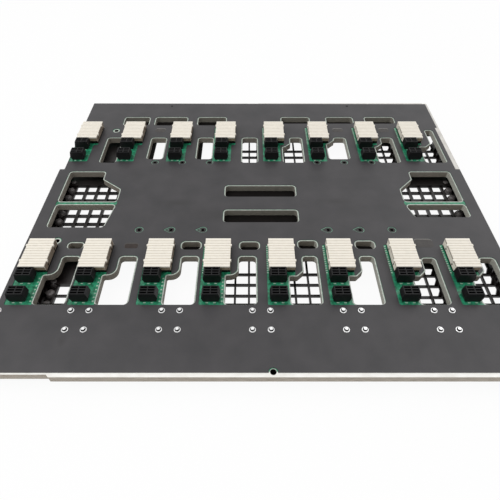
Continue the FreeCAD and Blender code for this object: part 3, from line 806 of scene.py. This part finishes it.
# Painted light and shade on sagged film: shade in the dent, sheen on the sag and a highlight along each
# crease.
dent_shade = noise_material("dent_shade", (38, 30, 27), (52, 44, 40), scale=300, roughness=0.6, shine=0.3)
sag_sheen = noise_material("sag_sheen", (58, 55, 54), (70, 67, 65),
                                scale=300, roughness=0.55, shine=0.35)
crease_highlight = noise_material("crease_highlight", (116, 114, 110), (142, 139, 134),
                             scale=300, roughness=0.5, shine=0.3)
# Black of the rear film, also used for the painted shade strips and patch under the board.
rear_film_and_shade_black = noise_material("rear_film_and_shade_black", (7, 6, 5), (16, 12, 11), scale=300, roughness=0.8, shine=0.1)
cream = noise_material("cream_plastic", (235, 229, 217), (241, 235, 223),
                       scale=250, roughness=0.5, detail=2)
# Painted shade on the grooves and front of the signal connectors, painted shade on their right sides and a
# painted highlight on their left sides.
groove_floor_shade = noise_material("groove_floor_shade", (206, 197, 181), (220, 211, 196),
                            scale=250, roughness=0.6, detail=2, shine=0.2)
front_face_shade = noise_material("front_face_shade", (128, 114, 95), (158, 142, 121),
                           scale=600, roughness=0.6, stretch=(1, 1, 0.3))
shaded_tan = noise_material("shaded_tan", (112, 100, 87), (146, 131, 115),
                            scale=600, roughness=0.6, stretch=(1, 1, 0.3))
pale_tan = noise_material("pale_tan", (240, 232, 216), (252, 246, 232),
                          scale=600, roughness=0.6, stretch=(1, 1, 0.3))
black = noise_material("black_plastic", (10, 10, 11), (20, 19, 21), scale=500, roughness=0.5, shine=0.22)
guard_black = noise_material("guard_black", (13, 9, 9), (26, 20, 19),
                             scale=400, roughness=0.4, shine=0.4)
# Painted highlight on the rounded bends of the black guard bars.
guard_bend_highlight = noise_material("guard_bend_highlight", (62, 58, 58), (100, 95, 94), scale=400, roughness=0.4)
# Near-black painted shade in holes, grooves, notches and undercuts, also used for the dark dots on the
# film.
shade_and_dot_black = noise_material("shade_and_dot_black", (8, 7, 7), (18, 16, 15), scale=800, roughness=0.8, shine=0.1)
pad_tin = noise_material("pad_tin", (132, 168, 148), (186, 206, 192),
                         scale=1500, roughness=0.4, shine=0.3)
screw_steel = noise_material("screw_steel", (226, 226, 226), (250, 250, 250),
                             scale=900, roughness=0.3, metallic=0.6)
for smudge_centre, smudge_reach in SMUDGES:
    add_smudge(film_grey.node_tree, smudge_centre, smudge_reach)


# Board, mask and film


def board_corners():
    """Edge of the board, stepped at its front left corner and set in at its left rear."""
    left, right = BOARD_LOW.x, BOARD_HIGH.x
    front, back = BOARD_LOW.y, BOARD_HIGH.y
    step = left + FRONT_STEP_WIDTH
    inset = from_front(LEFT_INSET_START)
    return [
        (left, front + FRONT_STEP, EDGE_RADIUS),
        (step - FRONT_STEP, front + FRONT_STEP, STEP_RADIUS),
        (step, front, STEP_RADIUS),
        (right, front, EDGE_RADIUS),
        (right, back, EDGE_RADIUS),
        (left + LEFT_INSET, back, EDGE_RADIUS),
        (left + LEFT_INSET, inset, EDGE_RADIUS),
        (left, inset, EDGE_RADIUS),
    ]


def wall_material(place, normal):
    """Material of an upright face of the board: round hole, outer edge, blind slot or opening."""
    # Walls of the round holes are painted dark as shade.
    for x, y, radius, ring in round_holes():
        if (Vector((x, y)) - place.xy).length < radius + RING_LINE:
            return shade_and_dot_black
    reaches = (place.xy - BOARD_LOW.xy, BOARD_HIGH.xy - place.xy)
    if min(min(reach) for reach in reaches) < EDGE_RADIUS + LEFT_INSET:
        return edge_metal
    for slot in back_slots() + middle_slots():
        xs, ys = zip(*(corner[:2] for corner in slot))
        inside = min(xs) < place.x + RING_LINE and place.x - RING_LINE < max(xs)
        if inside and min(ys) < place.y + RING_LINE and place.y - RING_LINE < max(ys):
            return slot_wall
    # Painted highlight: walls in the right half that face the key lamp on the left get a paler copy of the
    # laminate.
    return lit_laminate if place.x > 0 and normal.x < -UPRIGHT else laminate


def make_board():
    """Board with rounded openings: bare metal on top, plated edges, laminate walls, green underside."""
    openings = shown_openings() + [oblong_slot(bay) for bay in COVERED_OBLONGS]
    holes = [rounded(opening) for opening in openings]
    holes += [circle(x, y, radius) for x, y, radius, ring in round_holes()]
    materials = [bare_metal, edge_metal, laminate, lit_laminate, slot_wall, shade_and_dot_black, mask_green]
    board = cut_plate("board", rounded(board_corners()), holes, BOARD_LOW.z, BOARD_HIGH.z, materials)
    for polygon in board.data.polygons:
        if abs(polygon.normal.z) < UPRIGHT:
            polygon.material_index = materials.index(wall_material(polygon.center, polygon.normal))
        elif polygon.normal.z < 0:
            polygon.material_index = materials.index(mask_green)
    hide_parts("midplane_board")


def coated_zone():
    """Outline of the board's face inside its bare margins."""
    left, right = BOARD_LOW.x + MASK_LEFT_MARGIN + LEFT_INSET, BOARD_HIGH.x - MASK_RIGHT_MARGIN
    front, back = from_front(MASK_FRONT_MARGIN), BOARD_HIGH.y - MASK_FRONT_MARGIN
    return rounded(rectangle(left, right, front, back, EDGE_RADIUS))


def make_rims():
    """Thin pale layer on the board that shows round every opening."""
    holes = [rounded(opening) for opening in shown_openings()]
    holes += [circle(x, y, radius) for x, y, radius, ring in round_holes()]
    rims = cut_plate("opening_rims", coated_zone(), holes, BOARD_TOP, BOARD_TOP + RIM_THICKNESS, [rim_pale])


def make_mask():
    """Thin green layer on the board, set back from its pale rims."""
    holes = [rounded(grown(opening, MASK_SETBACK)) for opening in shown_openings()]
    holes += [circle(x, y, radius + ring - RING_LINE) for x, y, radius, ring in round_holes()]
    top = BOARD_TOP + MASK_THICKNESS
    mask = cut_plate("solder_mask", coated_zone(), holes, BOARD_TOP, top, [mask_green])


def make_guide_rings():
    """Dark rings round the guide-pin holes, inside a thin green line, with a pale dot in some."""
    rings = Solid(film_ring)
    top = BOARD_TOP + MASK_THICKNESS + FLAT_LIFT
    for x, y in guide_holes():
        hole = guide_outline(x, y, GUIDE_HOLE_RADIUS, 0)
        inner = guide_outline(x, y, GUIDE_HOLE_RADIUS + GUIDE_RING - RING_LINE, TAIL_REACH - RING_LINE)
        outer = guide_outline(x, y, GUIDE_HOLE_RADIUS + GUIDE_RING, TAIL_REACH)
        rings.band(inner, hole, BOARD_TOP, top)
        rings.band(outer, inner, BOARD_TOP, top, ring_green)
        if has_tail(x, y) and x < GUIDE_LINE_X:
            dot = circle(x - TAIL_DOT_REACH, y, TAIL_DOT_RADIUS)
            rings.prism(dot, top, top + FLAT_LIFT, ring_green)
    piece = rings.build("guide_rings")


def film_corners():
    """Edge of the film, notched on the right where the board's margin is bare."""
    left, right = BOARD_LOW.x + FILM_SIDE_MARGIN, BOARD_HIGH.x - FILM_SIDE_MARGIN
    front, back = from_front(FILM_FRONT_MARGIN), BOARD_HIGH.y - FILM_BACK_MARGIN
    inset = from_front(LEFT_INSET_START)
    notch_end = inset + FILM_NOTCH_LENGTH
    notch = BOARD_HIGH.x - FILM_NOTCH
    rear_right = BOARD_HIGH.x - FILM_REAR_MARGIN
    corners = [
        (left, front),
        (right, front),
        (right, inset),
        (notch, inset),
        (notch, notch_end),
        (rear_right, notch_end),
        (rear_right, back - FILM_BACK_SKEW),
        (left + LEFT_INSET, back),
        (left + LEFT_INSET, inset),
        (left, inset),
    ]
    return [(x, y, STEP_RADIUS) for x, y in corners]


def film_cutout(opening):
    """Cutout of the film round an opening, closer at the opening's front than at its other sides."""
    corners = grown(opening, FILM_SETBACK)
    front = min(y for x, y, radius in corners) + FILM_SETBACK - FILM_FRONT_SETBACK
    return [(x, max(y, front), radius) for x, y, radius in corners]


def make_film():
    """Film cut back from every opening, hole and connector."""
    holes = [rounded(film_cutout(opening)) for opening in shown_openings()]
    holes += [rounded(grown(bare_bar(side), FILM_SETBACK)) for side in SIDES]
    holes += [rounded(connector_window(*nodes)) for nodes in bay_nodes()]
    holes += [circle(x, y, radius + ring) for x, y, radius, ring in round_holes()]
    holes += [guide_outline(x, y, GUIDE_HOLE_RADIUS + GUIDE_RING, TAIL_REACH) for x, y in guide_holes()]
    film = cut_plate("insulator_film", rounded(film_corners()), holes, BOARD_TOP, FILM_TOP, [film_grey])
    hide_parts("front_insulator_film")


def shifted(corners, shift):
    """The same corners moved along Y."""
    return [(x, y + shift, radius) for x, y, radius in corners]


def rear_crease(bay):
    """Faint oblong behind a rear opening."""
    width, length = REAR_CREASE_SIZE
    right = opening_right(bay)
    front = from_front(REAR_CREASE_FRONT)
    return rectangle(right - width, right, front, front + length, SMALL_OBLONG_RADIUS)


def make_film_marks():
    """Creases and a dent of the film over covered oblong slots in painted light and shade, with a painted
    highlight along each crease and painted shade in the dent, and dark dots near its back edge.
    """
    marks = Solid(crease_highlight)
    first = FILM_TOP + FLAT_LIFT
    second = first + FLAT_LIFT
    creases = [rear_crease(bay) for bay in REAR_CREASE_BAYS]
    creases.append(shifted(oblong_slot(CREASED_BAY), CREASE_SHIFT))
    # Pale band along each crease's back edge: painted highlight, beside a painted sheen.
    for crease in creases:
        marks.prism(rounded(crease), FILM_TOP, first)
        cover = shifted(grown(crease, CREASE_GROWTH), -CREASE_WIDTH)
        marks.prism(rounded(cover), first, second, sag_sheen)
    dent = small_oblong(DENTED_BAY)
    # Dent: painted highlight rim, with painted shade set towards the front.
    marks.prism(rounded(dent), FILM_TOP, first, sag_sheen)
    marks.prism(rounded(shifted(grown(dent, -DENT_RIM), -DENT_RIM)), first, second, dent_shade)
    for x in BACK_DOTS:
        marks.prism(circle(x, BOARD_HIGH.y - BACK_DOT_MARGIN, BACK_DOT_RADIUS), FILM_TOP, first, shade_and_dot_black)
    piece = marks.build("film_marks")


def make_margin_shade():
    """Painted shade: a darker copy of the bare metal along the board's right side and the right half of its
    back.
    """
    margin = Solid(side_metal)
    left = BOARD_HIGH.x - MASK_RIGHT_MARGIN
    top = BOARD_TOP + RIM_THICKNESS
    margin.box((0, BOARD_HIGH.y - MASK_FRONT_MARGIN, BOARD_TOP), (left, BOARD_HIGH.y, top))
    margin.box((left, from_front(MARGIN_FRONT), BOARD_TOP), (BOARD_HIGH.x, BOARD_HIGH.y - EDGE_RADIUS, top))
    piece = margin.build("right_margin_shade")


def make_shade_strips():
    """Painted shade: black strips under the left edge of the open rear bays, and a black patch behind the
    locating hole.
    """
    shade_strips = Solid(rear_film_and_shade_black)
    bottom = BOARD_LOW.z - SHADE_STRIP_THICKNESS
    for bay in SHADE_STRIP_BAYS:
        corners = rear_opening(bay)
        left, front = corners[0][:2]
        shade_strips.box((left, front, bottom), (left + SHADE_STRIP_WIDTH, corners[2][1], BOARD_LOW.z))
    # Black patch behind the locating hole: painted shade for the dark inside of the hole.
    patch_radius = LOCATING_HOLE_RADIUS + LOCATING_RING
    patch = circle(LOCATING_HOLE_X, from_front(LOCATING_HOLE_FRONT), patch_radius)
    shade_strips.prism(patch, bottom, BOARD_LOW.z)
    piece = shade_strips.build("rear_shade_strips")


# Connectors


def groove_lines(low, high):
    """Y of each groove across a signal connector's top."""
    ridge = (high.y - low.y) / SIGNAL_RIDGES
    return [low.y + number * ridge for number in range(1, SIGNAL_RIDGES)]


def signal_profile(low, high):
    """Side outline of a signal connector: ridges between narrow grooves, undercut below the front lip."""
    groove = GROOVE_WIDTH / 2
    foot = low.z + FOOT_HEIGHT
    lip = high.z - LIP_HEIGHT
    face = low.y + FACE_RECESS
    profile = [(low.y, lip), (face, lip), (face, foot), (low.y + FOOT_RECESS, foot),
               (low.y + FOOT_RECESS, low.z), (high.y, low.z), (high.y, high.z)]
    for y in reversed(groove_lines(low, high)):
        profile += [(y + groove, high.z), (y + groove, high.z - GROOVE_DEPTH),
                    (y - groove, high.z - GROOVE_DEPTH), (y - groove, high.z)]
    profile.append((low.y, high.z))
    return profile


def add_front_strips(header, low, high):
    """Painted shade on the signal connector: the tan face below the front lip, the black band on the
    undercut under it and the floors of the grooves.
    """
    foot = low.z + FOOT_HEIGHT
    face = low.y + FACE_RECESS
    header.box((low.x, face - PANEL_REACH, foot), (high.x, face, high.z - LIP_HEIGHT), front_face_shade)
    gap = low.y + FOOT_RECESS
    header.box((low.x, gap - PANEL_REACH, low.z), (high.x, gap, foot), shade_and_dot_black)
    floor = high.z - GROOVE_DEPTH
    for y in groove_lines(low, high):
        front, back = y - GROOVE_WIDTH / 2, y + GROOVE_WIDTH / 2
        header.box((low.x, front, floor), (high.x, back, floor + FLAT_LIFT), groove_floor_shade)


def add_side_panels(header, low, high, side):
    """Panels on the left (-1) or right (1) side: a pale painted highlight on the left side and darker
    painted shade on the right, a painted shade line under the top edge, a painted contact shadow at the
    foot, nubs, and notches painted dark as shade.
    """
    face = low.x if side < 0 else high.x
    panel = face + side * PANEL_REACH
    front, back = low.y + FACE_RECESS + PANEL_MARGIN, high.y - PANEL_MARGIN
    line_top = high.z - SIDE_LINE_DROP
    line_bottom = line_top - SIDE_LINE_HEIGHT
    shadow_top = low.z + SIDE_SHADOW_HEIGHT
    middle = (low.z + high.z) / 2
    header.box((face, front, line_bottom), (panel, back, line_top), shaded_tan)
    header.box((face, front, shadow_top), (panel, back, line_bottom), shaded_tan if side > 0 else pale_tan)
    header.box((face, low.y + FOOT_RECESS, low.z), (panel, back, shadow_top), shade_and_dot_black)
    for share in NUB_PLACES:
        y = low.y + share * (high.y - low.y)
        nub = face + side * NUB_REACH
        header.box((face, y - NUB_LENGTH / 2, high.z - NUB_HEIGHT), (nub, y + NUB_LENGTH / 2, high.z))
        notch = face + side * 2 * PANEL_REACH
        header.box((face, y - NOTCH_SIZE / 2, middle - NOTCH_SIZE),
                   (notch, y + NOTCH_SIZE / 2, middle), shade_and_dot_black)


def make_signal_connector(node):
    """Cream ridged header with nubs, painted shade on its front and grooves, a painted highlight on its
    left side and painted shade on its right, narrower on the left in some bays.
    """
    low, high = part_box(node)
    bay = int(node.split("_")[-1]) - 1
    if bay in INSET_BAYS:
        low = low + Vector((SIGNAL_LEFT_INSET, 0, 0))
    header = Solid(cream)
    header.along_x(signal_profile(low, high), low.x, high.x)
    add_front_strips(header, low, high)
    for side in SIDES:
        add_side_panels(header, low, high, side)
    piece = header.build("look_" + node)
    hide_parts(node)


def spread(low, high, cells, wall):
    """Grid values of a row of cells between walls of one thickness."""
    size = (high - low - wall * (cells + 1)) / cells
    values = [low]
    for number in range(cells):
        start = low + wall + number * (size + wall)
        values += [start, start + size]
    return values + [high]


def tapered(points, middle, low, high):
    """Points moved in X, so that a shape of half width 1 has given half widths at two heights."""
    def half(z):
        return low[1] + (high[1] - low[1]) * (z - low[0]) / (high[0] - low[0])
    return [(middle + x * half(z), y, z) for x, y, z in points]


def add_power_block(blocks, left, right, front, bottom, top):
    """Black block, widest at its waist, with a grid of cavities in its top."""
    back = front + POWER_DEPTH
    front -= POWER_OUTSET
    middle, half = (left + right) / 2, (right - left) / 2
    waist = bottom + POWER_WAIST
    widest = half + POWER_WAIST_OUTSET
    foot = Solid()
    foot.box((-1, front, bottom), (1, back, waist))
    blocks.add(tapered(foot.points, middle, (bottom, half - POWER_FOOT_INSET), (waist, widest)), foot.faces)
    xs = spread(-1, 1, CAVITY_COLUMNS, CAVITY_WALL / half)
    ys = spread(front, back, CAVITY_ROWS, CAVITY_WALL)
    # Odd rows and columns of the grid meet in cavities, all other cells are walls.
    tops = [[top - CAVITY_DEPTH * (row % 2) * (column % 2) for column in range(len(xs) - 1)]
            for row in range(len(ys) - 1)]
    head = Solid()
    head.stepped_top(xs, ys, tops, waist)
    blocks.add(tapered(head.points, middle, (waist, widest), (top, half - POWER_TOP_INSET)), head.faces)


def make_power_connectors(node):
    """The two power connectors of a bay."""
    low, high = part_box(node)
    blocks = Solid(black)
    for front in (low.y, high.y - POWER_DEPTH):
        add_power_block(blocks, low.x, high.x, front, low.z, high.z)
    piece = blocks.build("look_" + node)
    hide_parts(node)


def make_pads():
    """Tinned pads in front of power connectors, vias beside them and ticks along signal connectors."""
    pads = Solid(pad_tin)
    bottom = BOARD_TOP + MASK_THICKNESS
    top = bottom + FLAT_LIFT
    for number in range(VIA_BAYS):
        low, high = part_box(f"power_connectors_front_{number + 1}")
        x = opening_right(number) - OPENING_WIDTH - VIA_GAP
        for step in range(round((high.y - low.y) / VIA_PITCH)):
            pads.prism(circle(x, low.y + step * VIA_PITCH, VIA_RADIUS, VIA_SIDES), bottom, top)
    for signal_node, power_node in bay_nodes():
        low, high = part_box(power_node)
        middle = (low.x + high.x) / 2
        for front in (low.y, high.y - POWER_DEPTH):
            for side in SIDES:
                x = middle + side * PAD_OFFSET
                pads.box((x - PAD_WIDTH / 2, front - PAD_GAP - PAD_LENGTH, bottom),
                         (x + PAD_WIDTH / 2, front - PAD_GAP, top))
        low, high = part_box(signal_node)
        for number in range(round((high.y - low.y) / TICK_PITCH)):
            y = low.y + number * TICK_PITCH
            pads.box((low.x - TICK_GAP - TICK_WIDTH, y, bottom), (low.x - TICK_GAP, y + TICK_LENGTH, top))
    piece = pads.build("board_pads")


# Guards and screws


def bend(radius, thickness, height):
    """Outer and inner line, as (reach, rise) points, of a strip that runs flat and then bends upright."""
    outer, inner = [(0, height)], [(thickness, height)]
    steps = round(pi / 2 / ARC_STEP)
    small = radius - thickness
    for number in range(steps + 1):
        angle = pi / 2 * number / steps
        reach, rise = 1 - cos(angle), 1 - sin(angle)
        outer.append((radius * reach, radius * rise))
        inner.append((thickness + small * reach, thickness + small * rise))
    return outer, inner


def bent_profile(left, right, bottom, top):
    """Outline in X and Z of a bar whose two ends bend up."""
    outer, inner = bend(BEND_RADIUS, BAR_HEIGHT, top - bottom)
    profile = [(left + x, bottom + z) for x, z in outer]
    profile += [(right - x, bottom + z) for x, z in reversed(outer)]
    profile += [(right - x, bottom + z) for x, z in inner]
    profile += [(left + x, bottom + z) for x, z in reversed(inner)]
    return profile


def add_guard_walls(guard, low, high):
    """Closed walls at both sides of a guard, which bend inward below."""
    outer, inner = bend(BEND_RADIUS, WALL_THICKNESS, high.z - low.z)
    profile = outer + inner[::-1]
    guard.along_y([(low.x + x, low.z + z) for x, z in profile], low.y, high.y)
    guard.along_y([(high.x - x, low.z + z) for x, z in reversed(profile)], low.y, high.y)


def add_gussets(guard, low, high, y):
    """Flat corners behind both ends of a guard's bar."""
    for edge, inward in ((low.x, 1), (high.x, -1)):
        bend_x = edge + inward * BEND_RADIUS
        gusset = [(bend_x, y), (bend_x + inward * GUSSET_REACH, y), (bend_x, y + GUSSET_RISE)]
        guard.prism(anticlockwise(gusset), low.z, low.z + BAR_HEIGHT)


def make_guard(node):
    """Dished grid of bars with rounded ends between closed walls, closed for a length at the back."""
    low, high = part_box(node)
    across = round((high.x - low.x) / GRID_PITCH)
    along = round((high.y - low.y - TIE_FRONT - TIE_BACK) / GRID_PITCH)
    guard = Solid(guard_black)
    add_guard_walls(guard, low, high)
    profile = bent_profile(low.x + WALL_THICKNESS, high.x - WALL_THICKNESS, low.z, high.z)
    width = SIDE_GUARD_BAR_WIDTH if "side" in node else BAR_WIDTH
    for number in range(along + 1):
        y = low.y + TIE_FRONT + number * GRID_PITCH + BAR_SHIFTS.get(node, 0)
        guard.along_y(profile, y - width / 2, y + width / 2)
        if node in GUSSET_GUARDS:
            add_gussets(guard, low, high, y)
        # Grey lumps at the bar ends: painted highlight on the rounded bends.
        if node in LUMP_GUARDS:
            x = low.x + LUMP_INSET if LUMP_GUARDS[node] < 0 else high.x - LUMP_INSET
            steps = [(radius, low.z + BAR_HEIGHT + rise) for radius, rise in LUMP_STEPS]
            guard.turned(x, y, steps, LUMP_SIDES, guard_bend_highlight)
    if node in FILLED_GUARDS:
        guard.box((low.x + BEND_RADIUS, low.y, low.z), (low.x + GRID_PITCH, high.y, low.z + BAR_HEIGHT))
    tie_top = low.z + 2 * BAR_HEIGHT
    for number in range(1, across):
        x = low.x + number * GRID_PITCH + (RIGHT_TIE_SHIFT if low.x > 0 else 0)
        guard.box((x - width / 2, low.y, low.z + BAR_HEIGHT), (x + width / 2, high.y, tie_top))
    if node in CLOSED_LENGTHS:
        guard.box((low.x + BEND_RADIUS, high.y - CLOSED_LENGTHS[node], tie_top),
                  (high.x - BEND_RADIUS, high.y, tie_top + CLOSED_THICKNESS))
    piece = guard.build("look_" + node)
    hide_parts(node)


def add_screw(screws, x, y):
    """Round head on a washer; the groove between them and the head's side wall are painted dark as shade.
    """
    washer = FILM_TOP + WASHER_HEIGHT
    shoulder = FILM_TOP + SCREW_HEIGHT - SCREW_CHAMFER
    washer_edge = WASHER_RADIUS - SCREW_CHAMFER
    head_edge = SCREW_RADIUS - SCREW_CHAMFER
    washer_steps = [(WASHER_RADIUS, FILM_TOP), (WASHER_RADIUS, washer - SCREW_CHAMFER),
                    (washer_edge, washer)]
    groove_steps = [(WASHER_GROOVE_RADIUS, washer), (WASHER_GROOVE_RADIUS, washer + FLAT_LIFT)]
    neck_steps = [(SCREW_RADIUS, washer), (SCREW_RADIUS, shoulder)]
    head_steps = [(SCREW_RADIUS, shoulder), (head_edge, shoulder + SCREW_CHAMFER)]
    for steps in (washer_steps, head_steps):
        screws.turned(x, y, steps, CIRCLE_SIDES)
    # The groove ring and the head's side wall are painted dark as shade.
    for steps in (groove_steps, neck_steps):
        screws.turned(x, y, steps, CIRCLE_SIDES, shade_and_dot_black)


def make_screws():
    """Bright screws that hold the rear supply connectors."""
    screws = Solid(screw_steel)
    for number in range(SUPPLIES):
        low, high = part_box(f"supply_connector_{number + 1}")
        for side in SIDES:
            for distance in SCREW_ROWS:
                add_screw(screws, (low.x + high.x) / 2 + side * SCREW_REACH, from_front(distance))
    piece = screws.build("supply_screws", SMOOTH_ANGLE)


def dress_cad_nodes():
    """Materials of the rear solids that are shown as they are."""
    looks = {"supply_connector": black, "module_connector": black, "fan_connectors": black,
             "rear_insulator_film": rear_film_and_shade_black}
    for name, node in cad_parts.items():
        for start, material in looks.items():
            if name.startswith(start):
                node.data.materials.clear()
                node.data.materials.append(material)


# Stage


def background_rays(tree):
    """Socket that is 1 for camera, glossy and transmission rays, which see the white background."""
    path = add_node(tree, "LightPath", {})
    socket = path.outputs["Is Camera Ray"]
    for name in ("Is Glossy Ray", "Is Transmission Ray"):
        either = add_node(tree, "Math", {}, "MAXIMUM")
        tree.links.new(socket, either.inputs[0])
        tree.links.new(path.outputs[name], either.inputs[1])
        socket = either.outputs[0]
    return socket


def make_floor():
    """White floor that keeps soft shadows."""
    mesh = bpy.data.meshes.new("floor")
    corners = [(x * FLOOR_REACH, y * FLOOR_REACH, 0) for x, y in ((-1, -1), (1, -1), (1, 1), (-1, 1))]
    mesh.from_pydata(corners, [], [range(len(corners))])
    floor = bpy.data.objects.new("floor", mesh)
    bpy.context.scene.collection.objects.link(floor)
    material = bpy.data.materials.new("floor_white")
    material.use_nodes = True
    tree = material.node_tree
    shader = tree.nodes["Principled BSDF"]
    shader.inputs["Base Color"].default_value = FLOOR_COLOUR
    shader.inputs["Roughness"].default_value = FLOOR_ROUGHNESS
    glow = add_node(tree, "Emission", {"Color": WHITE, "Strength": 1.0})
    share = add_node(tree, "Math", {1: FLOOR_GLOW}, "MULTIPLY")
    mix = add_node(tree, "MixShader", {})
    tree.links.new(background_rays(tree), share.inputs[0])
    tree.links.new(share.outputs[0], mix.inputs["Fac"])
    tree.links.new(shader.outputs["BSDF"], mix.inputs[1])
    tree.links.new(glow.outputs["Emission"], mix.inputs[2])
    tree.links.new(mix.outputs["Shader"], tree.nodes["Material Output"].inputs["Surface"])
    mesh.materials.append(material)


def make_world():
    """White background for the camera and even light for the object."""
    world = bpy.data.worlds.new("studio")
    bpy.context.scene.world = world
    world.use_nodes = True
    tree = world.node_tree
    light = tree.nodes["Background"]
    light.inputs["Color"].default_value = WHITE
    light.inputs["Strength"].default_value = WORLD_LIGHT
    shown = add_node(tree, "Background", {"Color": WHITE, "Strength": 1.0})
    mix = add_node(tree, "MixShader", {})
    tree.links.new(background_rays(tree), mix.inputs["Fac"])
    tree.links.new(light.outputs["Background"], mix.inputs[1])
    tree.links.new(shown.outputs["Background"], mix.inputs[2])
    tree.links.new(mix.outputs["Shader"], tree.nodes["World Output"].inputs["Surface"])


def make_light(name, place, size, power):
    """Square soft light that faces the middle of the board."""
    lamp = bpy.data.lights.new(name, "AREA")
    lamp.size = size
    lamp.energy = power
    light = bpy.data.objects.new(name, lamp)
    light.location = place
    light.rotation_euler = (-Vector(place)).to_track_quat("-Z", "Y").to_euler()
    bpy.context.scene.collection.objects.link(light)


def make_camera():
    """Camera at the photograph's viewing angle."""
    data = bpy.data.cameras.new("camera")
    data.lens = CAMERA_LENS
    data.sensor_width = CAMERA_SENSOR
    data.clip_start = CAMERA_CLIP
    camera = bpy.data.objects.new("camera", data)
    camera.location = CAMERA_PLACE
    camera.rotation_euler = (CAMERA_TILT, 0, 0)
    bpy.context.scene.collection.objects.link(camera)
    bpy.context.scene.camera = camera


make_board()
make_rims()
make_mask()
make_guide_rings()
make_film()
make_film_marks()
make_margin_shade()
make_shade_strips()
for signal_name, power_name in bay_nodes():
    make_signal_connector(signal_name)
    make_power_connectors(power_name)
make_pads()
for node_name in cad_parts:
    if node_name.startswith("air_guard"):
        make_guard(node_name)
make_screws()
dress_cad_nodes()

make_floor()
make_world()
for lamp_name, (lamp_place, lamp_size, lamp_power) in LAMPS.items():
    make_light(lamp_name, lamp_place, lamp_size, lamp_power)
make_camera()
bpy.context.scene.view_settings.view_transform = "Standard"
